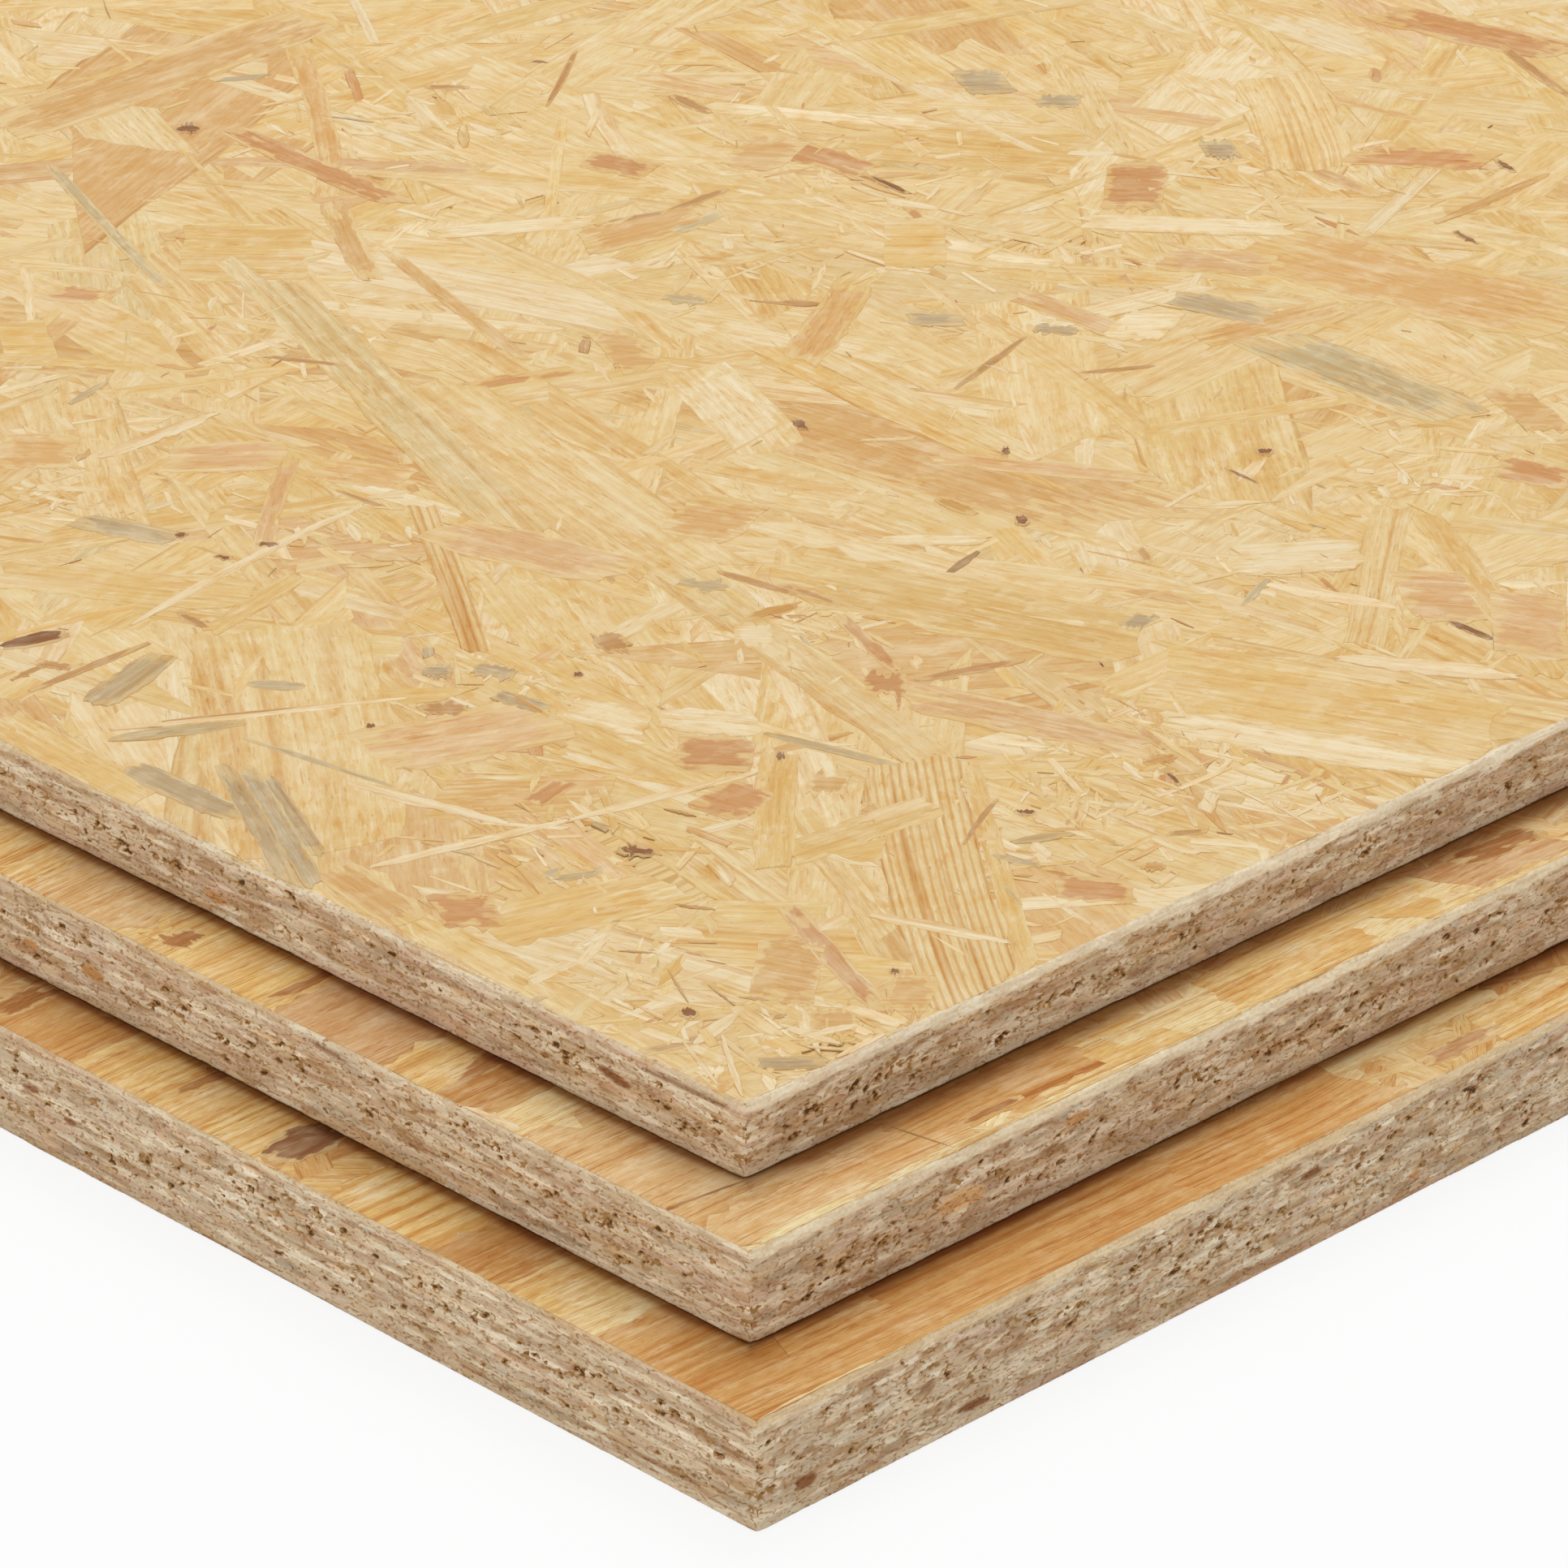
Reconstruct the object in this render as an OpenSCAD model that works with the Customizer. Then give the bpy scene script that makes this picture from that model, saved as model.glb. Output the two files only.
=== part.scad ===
// Stack of three oriented strand board panels of one sheet size, the thickest at the bottom.
// Each panel is set back from the one below it at one corner, so its sawn edges show as steps there.
// Z is up and the origin is on the floor, in the middle of the stack's footprint.
// X runs along the panels and Y across them, with the stepped corner at the low end of both.

/* [Sheet] */
// Length of every panel, along X
sheet_length = 1250; // [600:1:2500]
// Width of every panel, along Y
sheet_width = 625; // [300:1:1250]

/* [Thicknesses] */
// Thickness of the top panel
top_thickness = 12; // [6:0.5:30]
// Thickness of the middle panel
middle_thickness = 15; // [6:0.5:30]
// Thickness of the bottom panel
bottom_thickness = 18; // [6:0.5:30]

/* [Stagger] */
// Setback of each panel lengthwise from the one below it
lengthwise_step = 14; // [0:0.5:60]
// Setback of each panel crosswise from the one below it
crosswise_step = 15.5; // [0:0.5:60]

/* [Sawn edges] */
// Width of the narrow bevel that handling wears along every arris
arris_wear = 0.4; // [0.1:0.1:0.8]
// Length of arris that is knocked off at every corner
corner_wear = 1.6; // [1.2:0.1:2.5]

/* [Hidden] */

middle_base_z = bottom_thickness;
top_base_z = bottom_thickness + middle_thickness;

// A knocked-off corner is a plane that meets the three arrises at equal lengths
corner_cut_depth = corner_wear / sqrt(3);
corner_cutter_size = 4 * corner_wear;

top_colour = "#DDBF88";
middle_colour = "#D0AB77";
bottom_colour = "#C69B63";

// Rectangle with its four corners cut at 45 degrees
module bevelled_rectangle(across, up, bevel) {
    polygon([
        [-across / 2 + bevel, -up / 2], [across / 2 - bevel, -up / 2],
        [across / 2, -up / 2 + bevel], [across / 2, up / 2 - bevel],
        [across / 2 - bevel, up / 2], [-across / 2 + bevel, up / 2],
        [-across / 2, up / 2 - bevel], [-across / 2, -up / 2 + bevel],
    ]);
}

// Rectangular sheet about the origin with all twelve arrises bevelled:
// the part that its plan, its long section and its cross section have in common
module bevelled_sheet(thickness) {
    intersection() {
        linear_extrude(thickness, center = true)
            bevelled_rectangle(sheet_length, sheet_width, arris_wear);
        rotate([90, 0, 0])
            linear_extrude(sheet_width, center = true)
                bevelled_rectangle(sheet_length, thickness, arris_wear);
        rotate([90, 0, 90])
            linear_extrude(sheet_length, center = true)
                bevelled_rectangle(sheet_width, thickness, arris_wear);
    }
}

// Block whose flat underside is the plane of one knocked-off corner.
// Each direction is -1 or 1 and says towards which end of its axis the corner lies.
module corner_cutter(x_side, y_side, z_side, thickness) {
    translate([x_side * sheet_length / 2, y_side * sheet_width / 2, z_side * thickness / 2])
        rotate([0, acos(z_side / sqrt(3)), atan2(y_side, x_side)])
            translate([0, 0, corner_cutter_size / 2 - corner_cut_depth])
                cube(corner_cutter_size, center = true);
}

// One sawn panel, standing on z = 0 and centred on the Z axis
module panel(thickness) {
    translate([0, 0, thickness / 2])
        difference() {
            bevelled_sheet(thickness);
            for (x_side = [-1, 1], y_side = [-1, 1], z_side = [-1, 1])
                corner_cutter(x_side, y_side, z_side, thickness);
        }
}

module top_panel() {
    color(top_colour)
        translate([lengthwise_step, crosswise_step, top_base_z])
            panel(top_thickness);
}

module middle_panel() {
    color(middle_colour)
        translate([0, 0, middle_base_z])
            panel(middle_thickness);
}

module bottom_panel() {
    color(bottom_colour)
        translate([-lengthwise_step, -crosswise_step, 0])
            panel(bottom_thickness);
}

top_panel();
middle_panel();
bottom_panel();
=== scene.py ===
import math

import bpy
import numpy as np
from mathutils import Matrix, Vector


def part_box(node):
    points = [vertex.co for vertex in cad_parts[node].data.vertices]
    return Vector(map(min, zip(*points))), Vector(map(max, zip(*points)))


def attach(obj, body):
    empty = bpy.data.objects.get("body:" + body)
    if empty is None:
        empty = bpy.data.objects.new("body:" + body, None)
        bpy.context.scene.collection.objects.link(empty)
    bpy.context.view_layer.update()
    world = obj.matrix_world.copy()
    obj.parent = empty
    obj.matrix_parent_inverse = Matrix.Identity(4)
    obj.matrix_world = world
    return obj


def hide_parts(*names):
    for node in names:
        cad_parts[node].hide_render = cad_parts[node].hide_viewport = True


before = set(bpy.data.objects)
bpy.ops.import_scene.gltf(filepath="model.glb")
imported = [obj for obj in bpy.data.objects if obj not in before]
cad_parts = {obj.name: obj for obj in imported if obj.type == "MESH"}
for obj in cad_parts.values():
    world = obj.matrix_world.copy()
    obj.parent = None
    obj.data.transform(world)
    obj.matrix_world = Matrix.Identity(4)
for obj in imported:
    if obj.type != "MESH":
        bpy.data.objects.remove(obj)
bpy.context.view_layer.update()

# Lengths below are in millimetres, in the frame of the CAD model
MM = 0.001
SEED = 20261
PANELS = ("bottom_panel", "middle_panel", "top_panel")
BODY = "root"

# How far the plain board lies inside the faces and edges that the strands make
FACE_RECESS = 0.42
EDGE_RECESS = 2.4


def panel_box(name):
    """Lowest and highest corner of a panel, in millimetres."""
    low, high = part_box(name)
    return np.array(low) / MM, np.array(high) / MM


BOX = {name: panel_box(name) for name in PANELS}

# The photograph's camera
PHOTO_SIDE = 1932
FOCAL_PIXELS = 10058.9
SENSOR = 36.0
EYE = np.array([-1319.2, -1024.6, 598.4])
HEADING = math.radians(45.46)
DIP = math.radians(26.33)
AIM = np.array([
    math.cos(DIP) * math.cos(HEADING),
    math.cos(DIP) * math.sin(HEADING),
    -math.sin(DIP),
])
RIGHT = np.cross(AIM, (0, 0, 1)) / np.linalg.norm(np.cross(AIM, (0, 0, 1)))
UP = np.cross(RIGHT, AIM)


class Sheet:
    """A flat face: its origin, its two directions along the face and its outward one."""

    def __init__(self, origin, along, across, outward):
        self.origin = np.array(origin, float)
        self.axes = np.array([along, across, outward], float)

    def world(self, local):
        return self.origin + local @ self.axes

    def seen(self, px, py):
        """The place on the face that a pixel of the photograph shows."""
        middle = PHOTO_SIDE / 2
        ray = AIM + RIGHT * (px - middle) / FOCAL_PIXELS - UP * (py - middle) / FOCAL_PIXELS
        away = self.axes @ (self.origin - EYE)
        slope = self.axes @ ray
        return (slope * away[2] / slope[2] - away)[:2]


def face_sheet(name):
    """The upper face of a panel, with the frame's own x and y."""
    return Sheet((0, 0, BOX[name][1][2]), (1, 0, 0), (0, 1, 0), (0, 0, 1))


# Colours
def srgb(r, g, b):
    """A colour given in 0 to 255 as the eye sees it, in linear light."""
    c = np.array([r, g, b]) / 255
    return np.where(c <= 0.04045, c / 12.92, ((c + 0.055) / 1.055) ** 2.4)


TONES = {
    "cream": srgb(243, 224, 185),
    "straw": srgb(235, 209, 156),
    "yellow": srgb(233, 204, 143),
    "honey": srgb(231, 197, 132),
    "tan": srgb(223, 181, 121),
    "pink_tan": srgb(226, 187, 138),
    "russet": srgb(212, 159, 106),
    "amber": srgb(212, 164, 98),
    "brown": srgb(200, 154, 102),
    "bark": srgb(152, 105, 70),
    "grey": srgb(196, 175, 139),
    "faint_grey": srgb(206, 188, 148),
    "pale_grey": srgb(205, 184, 144),
    "dun": srgb(222, 199, 148),
    # Cracks and joints: thin dark slivers laid where strands part, the painted shade of those gaps
    "crack": srgb(205, 166, 112),
    "joint": srgb(176, 128, 80),
    "ledge_pink": srgb(227, 191, 139),
    "ledge_gold": srgb(234, 202, 138),
    "ledge_brown": srgb(212, 168, 119),
    "ledge_yellow": srgb(241, 220, 168),
    "ledge_amber": srgb(218, 170, 106),
    "ledge_deep": srgb(206, 156, 94),
    "knot": srgb(188, 134, 80),
}
SAWN_TONES = {
    "white": srgb(234, 221, 196),
    "pale": srgb(224, 208, 181),
    "beige": srgb(210, 190, 161),
    "pink": srgb(206, 178, 152),
    "mouse": srgb(197, 182, 158),
    "tan": srgb(203, 174, 135),
    "brown": srgb(175, 138, 103),
}
SEAM = srgb(188, 158, 122)
# The tone of the wood in pits, and the painted shade in their deepest parts
PIT_GOLD = srgb(172, 130, 80)
PIT_PAINTED_SHADE = srgb(88, 58, 33)

# Painted shade along a panel's lower arris, on the panel below: where its dark line and the softer shade
# beside it begin and are full, what they do to the wood, and how distances count on the right (below 1 they
# reach further)
PAINTED_CONTACT_LINE = (2.6, 0.4)
PAINTED_CONTACT_SHADE = (5.0, 2.0)
PAINTED_CONTACT_TINT = (0.34, 0.20, 0.10)
CONTACT_RIGHT = {"middle_panel": 0.5, "bottom_panel": 0.9}

# Strands of the top face that stand out in the photograph, by kind. Each row gives the two ends of the
# strand's middle line in pixels, and how thick it looks there, across its run, in pixels.
PHOTO_STRANDS = {
    "striped_straw": {
        "wide pale strand": (520, 480, 850, 700, 120),
        "pale strand to the stripes": (735, 640, 1165, 945, 58),
    },
    "ringed": {
        "ring strand": (338, 772, 398, 1052, 236),
    },
    "striped_dun": {
        "green band": (300, 318, 640, 650, 84),
    },
    "striped_honey": {
        "far stripes": (1570, 92, 1620, 208, 110),
        "right upright": (1715, 627, 1680, 796, 50),
    },
    "combed": {
        "latewood strand": (1119, 938, 1204, 1246, 122),
        "ladder": (522, 622, 588, 800, 38),
    },
    "honey": {
        "near middle": (960, 925, 952, 1068, 50),
        "near honey strand": (602, 1145, 825, 1092, 56),
        "bridge": (969, 1053, 1150, 992, 34),
        "lower bridge": (1040, 1055, 1165, 1028, 26),
        "wide strand": (962, 700, 1406, 790, 70),
        "wide strand right": (1432, 830, 1840, 900, 90),
        "left arris strand": (0, 885, 180, 985, 50),
        "left wide": (0, 705, 306, 735, 40),
        "beside splinter": (258, 777, 367, 710, 22),
        "far blob": (1090, 300, 1164, 300, 60),
        "beside latewood": (1192, 941, 1272, 1206, 28),
        "long right": (1755, 633, 1910, 831, 46),
        "far left patch": (222, 310, 383, 312, 70),
        "left margin": (0, 420, 64, 420, 50),
    },
    "tan": {
        "rounded leaf": (930, 1188, 1008, 1204, 80),
        "near square": (997, 965, 1043, 967, 24),
        "leaf": (410, 1070, 506, 1135, 56),
        "corner chip": (868, 1338, 898, 1340, 28),
        "chip on latewood": (1061, 996, 1084, 998, 16),
        "square patch": (832, 632, 926, 645, 56),
        "far slab": (1052, 352, 987, 445, 58),
        "far left upright": (367, 54, 411, 207, 30),
        "far left lower": (408, 249, 456, 344, 34),
        "far left band": (0, 160, 394, 20, 52),
        "far patch": (742, 430, 796, 432, 40),
        "far block": (904, 186, 980, 190, 40),
        "under curve": (719, 300, 863, 262, 36),
        "crossing": (1480, 418, 1649, 376, 26),
        "far wide band": (1547, 300, 1932, 395, 76),
        "right knot": (1852, 505, 1913, 505, 50),
        "near right": (1000, 1258, 1055, 1258, 28),
        "near far right": (1092, 1222, 1150, 1222, 50),
        "left upper": (0, 555, 90, 556, 44),
        "middle left": (392, 575, 500, 590, 30),
    },
    "pink_tan": {
        "middle": (545, 650, 767, 705, 50),
        "long": (1148, 563, 1400, 588, 16),
        "left": (205, 565, 350, 560, 36),
        "upright": (357, 563, 319, 684, 26),
        "far right": (1432, 318, 1569, 326, 28),
        "far strip": (1253, 362, 1390, 412, 24),
        "near": (455, 925, 690, 885, 62),
        "right": (1725, 730, 1824, 736, 60),
        "right margin": (1840, 760, 1932, 775, 80),
        "strip": (1123, 858, 1416, 918, 36),
    },
    "russet": {
        "near patch": (536, 1120, 612, 1122, 44),
        "small patch": (656, 988, 697, 962, 26),
        "middle patch": (872, 975, 934, 995, 50),
        "upper patch": (834, 925, 926, 930, 44),
        "right wedge": (1848, 574, 1932, 592, 30),
        "top right": (1706, 16, 1932, 66, 30),
        "right strip": (1301, 1092, 1397, 1098, 30),
        "diagonal": (969, 1117, 1087, 1244, 36),
        "arm": (1033, 757, 1103, 824, 20),
        "foot of the arm": (1066, 842, 1119, 842, 30),
        "far strip": (960, 178, 1072, 210, 26),
        "far left strand": (285, 160, 491, 250, 24),
        "far band": (1665, 190, 1840, 198, 24),
        "far square": (1362, 228, 1436, 230, 60),
        "left triangle": (67, 360, 124, 366, 20),
        "far middle": (722, 195, 805, 210, 24),
    },
    "grey": {
        "fork, left strip": (277, 943, 360, 1097, 30),
        "fork, middle strip": (306, 949, 389, 1091, 30),
        "fork, right strip": (329, 957, 394, 1053, 24),
        "fork branch": (160, 945, 300, 1008, 30),
        "left block": (118, 866, 203, 806, 40),
        "left middle": (96, 640, 215, 664, 22),
        "far trapezoid": (1182, 100, 1242, 100, 30),
        "far small": (1280, 124, 1330, 124, 14),
        "far block": (1481, 184, 1524, 184, 20),
        "right upper": (1447, 366, 1562, 392, 24),
        "bit one": (612, 855, 672, 874, 18),
        "bit two": (585, 822, 633, 832, 16),
        "bit three": (521, 826, 557, 828, 14),
        "corner": (936, 1309, 1020, 1309, 15),
        "chip": (1387, 764, 1419, 766, 16),
        "far lens": (1119, 392, 1186, 394, 16),
        "far lens right": (1276, 403, 1327, 408, 10),
    },
    "faint_grey": {
        "far left sliver": (61, 204, 204, 354, 18),
        "right lower": (1556, 415, 1800, 512, 52),
        "far bit": (830, 284, 892, 262, 12),
    },
    "cream": {
        "bright": (703, 872, 799, 895, 34),
        "bright right": (815, 884, 936, 894, 28),
        "white chip": (904, 782, 952, 782, 26),
        "right": (1515, 690, 1677, 680, 40),
        "pale long": (1432, 886, 1808, 950, 34),
        "far left": (537, 287, 732, 271, 16),
        "far": (1335, 272, 1590, 282, 20),
        "far chip": (1371, 400, 1448, 400, 36),
        "middle": (1084, 665, 1215, 665, 12),
        "corner chip": (858, 1318, 890, 1321, 12),
        "corner strand": (905, 1240, 960, 1275, 14),
        "corner strand, right": (1045, 1240, 1110, 1262, 12),
    },
    "grey_splinter": {
        "thin line": (943, 903, 1106, 943, 9),
        "beside the fork": (300, 909, 486, 969, 6),
        "left lens": (306, 842, 375, 846, 12),
        "left sliver": (137, 910, 300, 890, 13),
        "middle lens": (837, 716, 895, 724, 14),
        "right one": (1224, 1053, 1282, 1067, 7),
        "right two": (1247, 1037, 1320, 1026, 9),
        "right three": (1234, 1088, 1259, 1114, 6),
        "far bit": (818, 365, 869, 372, 12),
        "left lower": (86, 497, 131, 470, 8),
        "right pale": (1531, 745, 1563, 712, 14),
    },
    "cream_splinter": {
        "long": (455, 1068, 700, 1010, 9),
        "long, upper half": (700, 1010, 930, 951, 9),
        "across the stripes": (1069, 1126, 1243, 1160, 13),
        "from the rings": (429, 963, 623, 1014, 14),
        "left": (159, 767, 445, 620, 11),
        "left upper": (124, 563, 265, 509, 14),
        "right": (1560, 719, 1719, 748, 14),
        "right lens": (1649, 810, 1872, 834, 18),
        "double line": (137, 898, 500, 860, 7),
        "right chip": (1614, 697, 1671, 695, 14),
        "by the corner, far": (961, 1262, 1035, 1286, 9),
        "by the corner, crossing": (985, 1277, 1058, 1262, 7),
        "by the corner, right": (1031, 1302, 1090, 1273, 8),
        "by the corner, low": (936, 1351, 984, 1336, 5),
        "by the corner, left": (842, 1283, 884, 1336, 7),
        "by the corner, middle": (889, 1275, 914, 1350, 9),
    },
    "brown_splinter": {
        "far upright": (675, 129, 710, 62, 9),
        "far line": (1177, 478, 1263, 415, 9),
        "thin": (1132, 837, 1260, 813, 9),
        "beside latewood": (1186, 1040, 1228, 983, 9),
        "top right": (1847, 54, 1932, 118, 14),
        "curve left": (735, 277, 824, 260, 6),
        "curve right": (824, 260, 895, 233, 8),
        "wide strand edge": (885, 703, 980, 732, 8),
        "wide strand edge right": (960, 719, 1036, 745, 7),
        "left tip": (38, 850, 182, 792, 8),
        "left short": (220, 754, 255, 773, 10),
        "over the double line": (200, 888, 420, 867, 3),
        "left red": (14, 837, 51, 820, 6),
        "left red upper": (48, 816, 86, 822, 10),
        "middle knot": (515, 872, 576, 872, 14),
        "middle patch": (735, 795, 773, 788, 24),
        "far thin": (1330, 459, 1422, 450, 4),
        "far left thin": (319, 437, 424, 450, 5),
        "far dash": (525, 107, 579, 107, 6),
        "far lens": (828, 117, 875, 138, 12),
    },
    "amber_splinter": {
        "far right": (1770, 274, 1907, 214, 10),
        "rusty spot": (1406, 1067, 1435, 1067, 9),
        "across the grey": (633, 856, 675, 882, 7),
        "golden": (917, 764, 980, 745, 14),
        "golden chip": (1154, 614, 1202, 633, 12),
        "right chip": (1400, 892, 1434, 922, 14),
        "right chip, lower": (1412, 940, 1448, 930, 12),
    },
    "bark": {
        "left lens": (3, 796, 83, 780, 18),
        "near one": (762, 1046, 806, 1050, 12),
        "near two": (838, 1248, 860, 1248, 12),
        "dot one": (955, 931, 968, 931, 12),
        "dot two": (1096, 1196, 1109, 1196, 8),
        "dot three": (706, 831, 718, 831, 7),
        "dot four": (979, 524, 993, 522, 14),
        "dot five": (1234, 555, 1244, 555, 12),
        "dot six": (1251, 641, 1268, 641, 12),
        "dot seven": (450, 894, 463, 894, 6),
        "far sliver": (1075, 217, 1119, 238, 8),
        "far right sliver": (1791, 284, 1821, 300, 7),
        "far right upper": (1843, 196, 1866, 212, 9),
        "left one": (316, 670, 344, 670, 7),
        "left two": (214, 660, 231, 656, 7),
        "left three": (265, 684, 285, 688, 6),
        "right": (1786, 764, 1837, 786, 8),
        "right hole": (1548, 556, 1569, 556, 9),
        "right line": (1510, 576, 1550, 595, 3),
        "by the stripes": (1250, 1000, 1275, 1001, 7),
        "by the strip": (1435, 948, 1454, 967, 10),
        "far left knot": (217, 158, 246, 158, 12),
    },
    # Thin dark slivers that stand for the shade in cracks: painted shade
    "crack": {
        "corner one": (873, 1214, 905, 1238, 3),
        "corner two": (911, 1228, 947, 1232, 3),
        "corner three": (953, 1254, 969, 1249, 4),
        "near one": (822, 1193, 848, 1235, 3),
        "near two": (762, 1171, 809, 1174, 2),
        "near four": (832, 1114, 880, 1120, 3),
        "near five": (819, 996, 857, 1005, 3),
    },
}

# Strands of the two ledges that stand out in the photograph, in the same way
LEDGE_STRANDS = {
    "middle_panel": {
        "ledge_gold": {
            "left end": (-60, 1088, 130, 1001, 110),
            "left streaks": (110, 1172, 300, 1086, 80),
            "left wide": (210, 1222, 400, 1136, 165),
            "left middle": (460, 1351, 650, 1264, 110),
            "right": (1270, 1345, 1440, 1266, 90),
            "far right": (1500, 1225, 1760, 1104, 70),
        },
        "ledge_pink": {
            "left": (45, 1140, 235, 1053, 110),
            "corner": (700, 1478, 900, 1386, 205),
            "along the right side": (830, 1530, 1180, 1365, 110),
        },
        "ledge_brown": {
            "left wide": (355, 1298, 545, 1211, 130),
            "far right": (1780, 1085, 1900, 1030, 60),
        },
        "ledge_yellow": {
            "left": (585, 1415, 775, 1328, 115),
            "right": (1390, 1290, 1640, 1173, 60),
            "right upper": (1690, 1150, 1840, 1080, 50),
            "right end": (1810, 1110, 1960, 1040, 50),
        },
        "ledge_amber": {
            "right": (1105, 1400, 1330, 1295, 60),
        },
        "ledge_deep": {
            "left dark": (520, 1381, 710, 1294, 62),
        },
        "cream_splinter": {
            "left": (560, 1362, 640, 1392, 16),
        },
        # Thin dark slivers that stand for the shade in gaps near the corner: painted shade
        "joint": {
            "at the corner": (812, 1494, 852, 1478, 5),
            "under the corner": (845, 1481, 915, 1455, 3),
            "right": (1098, 1388, 1176, 1414, 2),
        },
        "knot": {
            "left": (205, 1165, 245, 1148, 22),
            "left streak": (325, 1235, 430, 1188, 14),
            "left low": (560, 1330, 640, 1290, 30),
            "right": (1180, 1388, 1260, 1350, 10),
            "right end": (1795, 1062, 1890, 1022, 30),
        },
        "arris": {
            "near": (938, 1530, 1090, 1458, 22),
            "middle": (1060, 1472, 1260, 1378, 18),
            "far": (1250, 1382, 1440, 1292, 20),
            "end": (1480, 1274, 1700, 1170, 14),
        },
    },
    "bottom_panel": {
        "ledge_amber": {
            "left end": (-20, 1296, 170, 1209, 120),
            "corner": (765, 1770, 1450, 1448, 150),
            "before the corner": (790, 1690, 1040, 1572, 130),
            "right": (1400, 1480, 1700, 1335, 110),
        },
        "ledge_yellow": {
            "before the corner": (690, 1640, 850, 1568, 50),
            "right": (1520, 1350, 1800, 1218, 70),
        },
        "ledge_rings": {
            "left": (425, 1525, 615, 1438, 125),
        },
        "bark": {
            "left": (330, 1428, 425, 1386, 46),
        },
        "ledge_deep": {
            "left swirl": (525, 1577, 715, 1490, 100),
            "corner shade": (800, 1690, 1100, 1548, 56),
        },
        "ledge_gold": {
            "left": (70, 1342, 260, 1255, 140),
            "left stripes": (180, 1394, 370, 1307, 90),
            "left lines": (250, 1424, 440, 1337, 70),
            "left block": (610, 1620, 800, 1534, 105),
            "right end": (1840, 1270, 1960, 1205, 80),
            "right pale": (1290, 1556, 1400, 1504, 40),
        },
        "knot": {
            "left streak": (200, 1352, 285, 1318, 12),
            "right": (1752, 1310, 1850, 1262, 22),
            "left end": (-10, 1250, 70, 1214, 26),
        },
        "arris": {
            "near": (945, 1748, 1120, 1664, 20),
            "right": (1160, 1644, 1420, 1518, 12),
            "left": (690, 1636, 770, 1680, 18),
            "left end": (420, 1498, 580, 1580, 16),
        },
    },
}

# Flakes of the sawn edges that stand out in the photograph, in the same way
EDGE_FLAKES = {
    ("top_panel", "left"): {
        "bark": {"long pit": (738, 1315, 776, 1340, 13)},
        "brown_flake": {"left": (252, 1099, 280, 1114, 10)},
    },
    ("middle_panel", "left"): {
        "brown_flake": {
            "pit": (100, 1190, 128, 1208, 16),
            "spot": (28, 1157, 48, 1170, 12),
        },
    },
    ("middle_panel", "right"): {
        "pink_flake": {"large": (1158, 1490, 1214, 1466, 24)},
        "brown_flake": {"upper": (1314, 1384, 1342, 1370, 12)},
    },
    ("bottom_panel", "left"): {
        "bark": {
            "oval": (28, 1338, 48, 1345, 9),
            "pit": (78, 1378, 94, 1386, 8),
        },
    },
    ("bottom_panel", "right"): {
        "bark": {
            "near": (981, 1832, 1006, 1818, 16),
            "middle": (1182, 1738, 1220, 1722, 11),
            "far": (1603, 1452, 1629, 1440, 10),
        },
        "brown_flake": {"far": (1736, 1452, 1750, 1442, 8)},
    },
}

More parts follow.
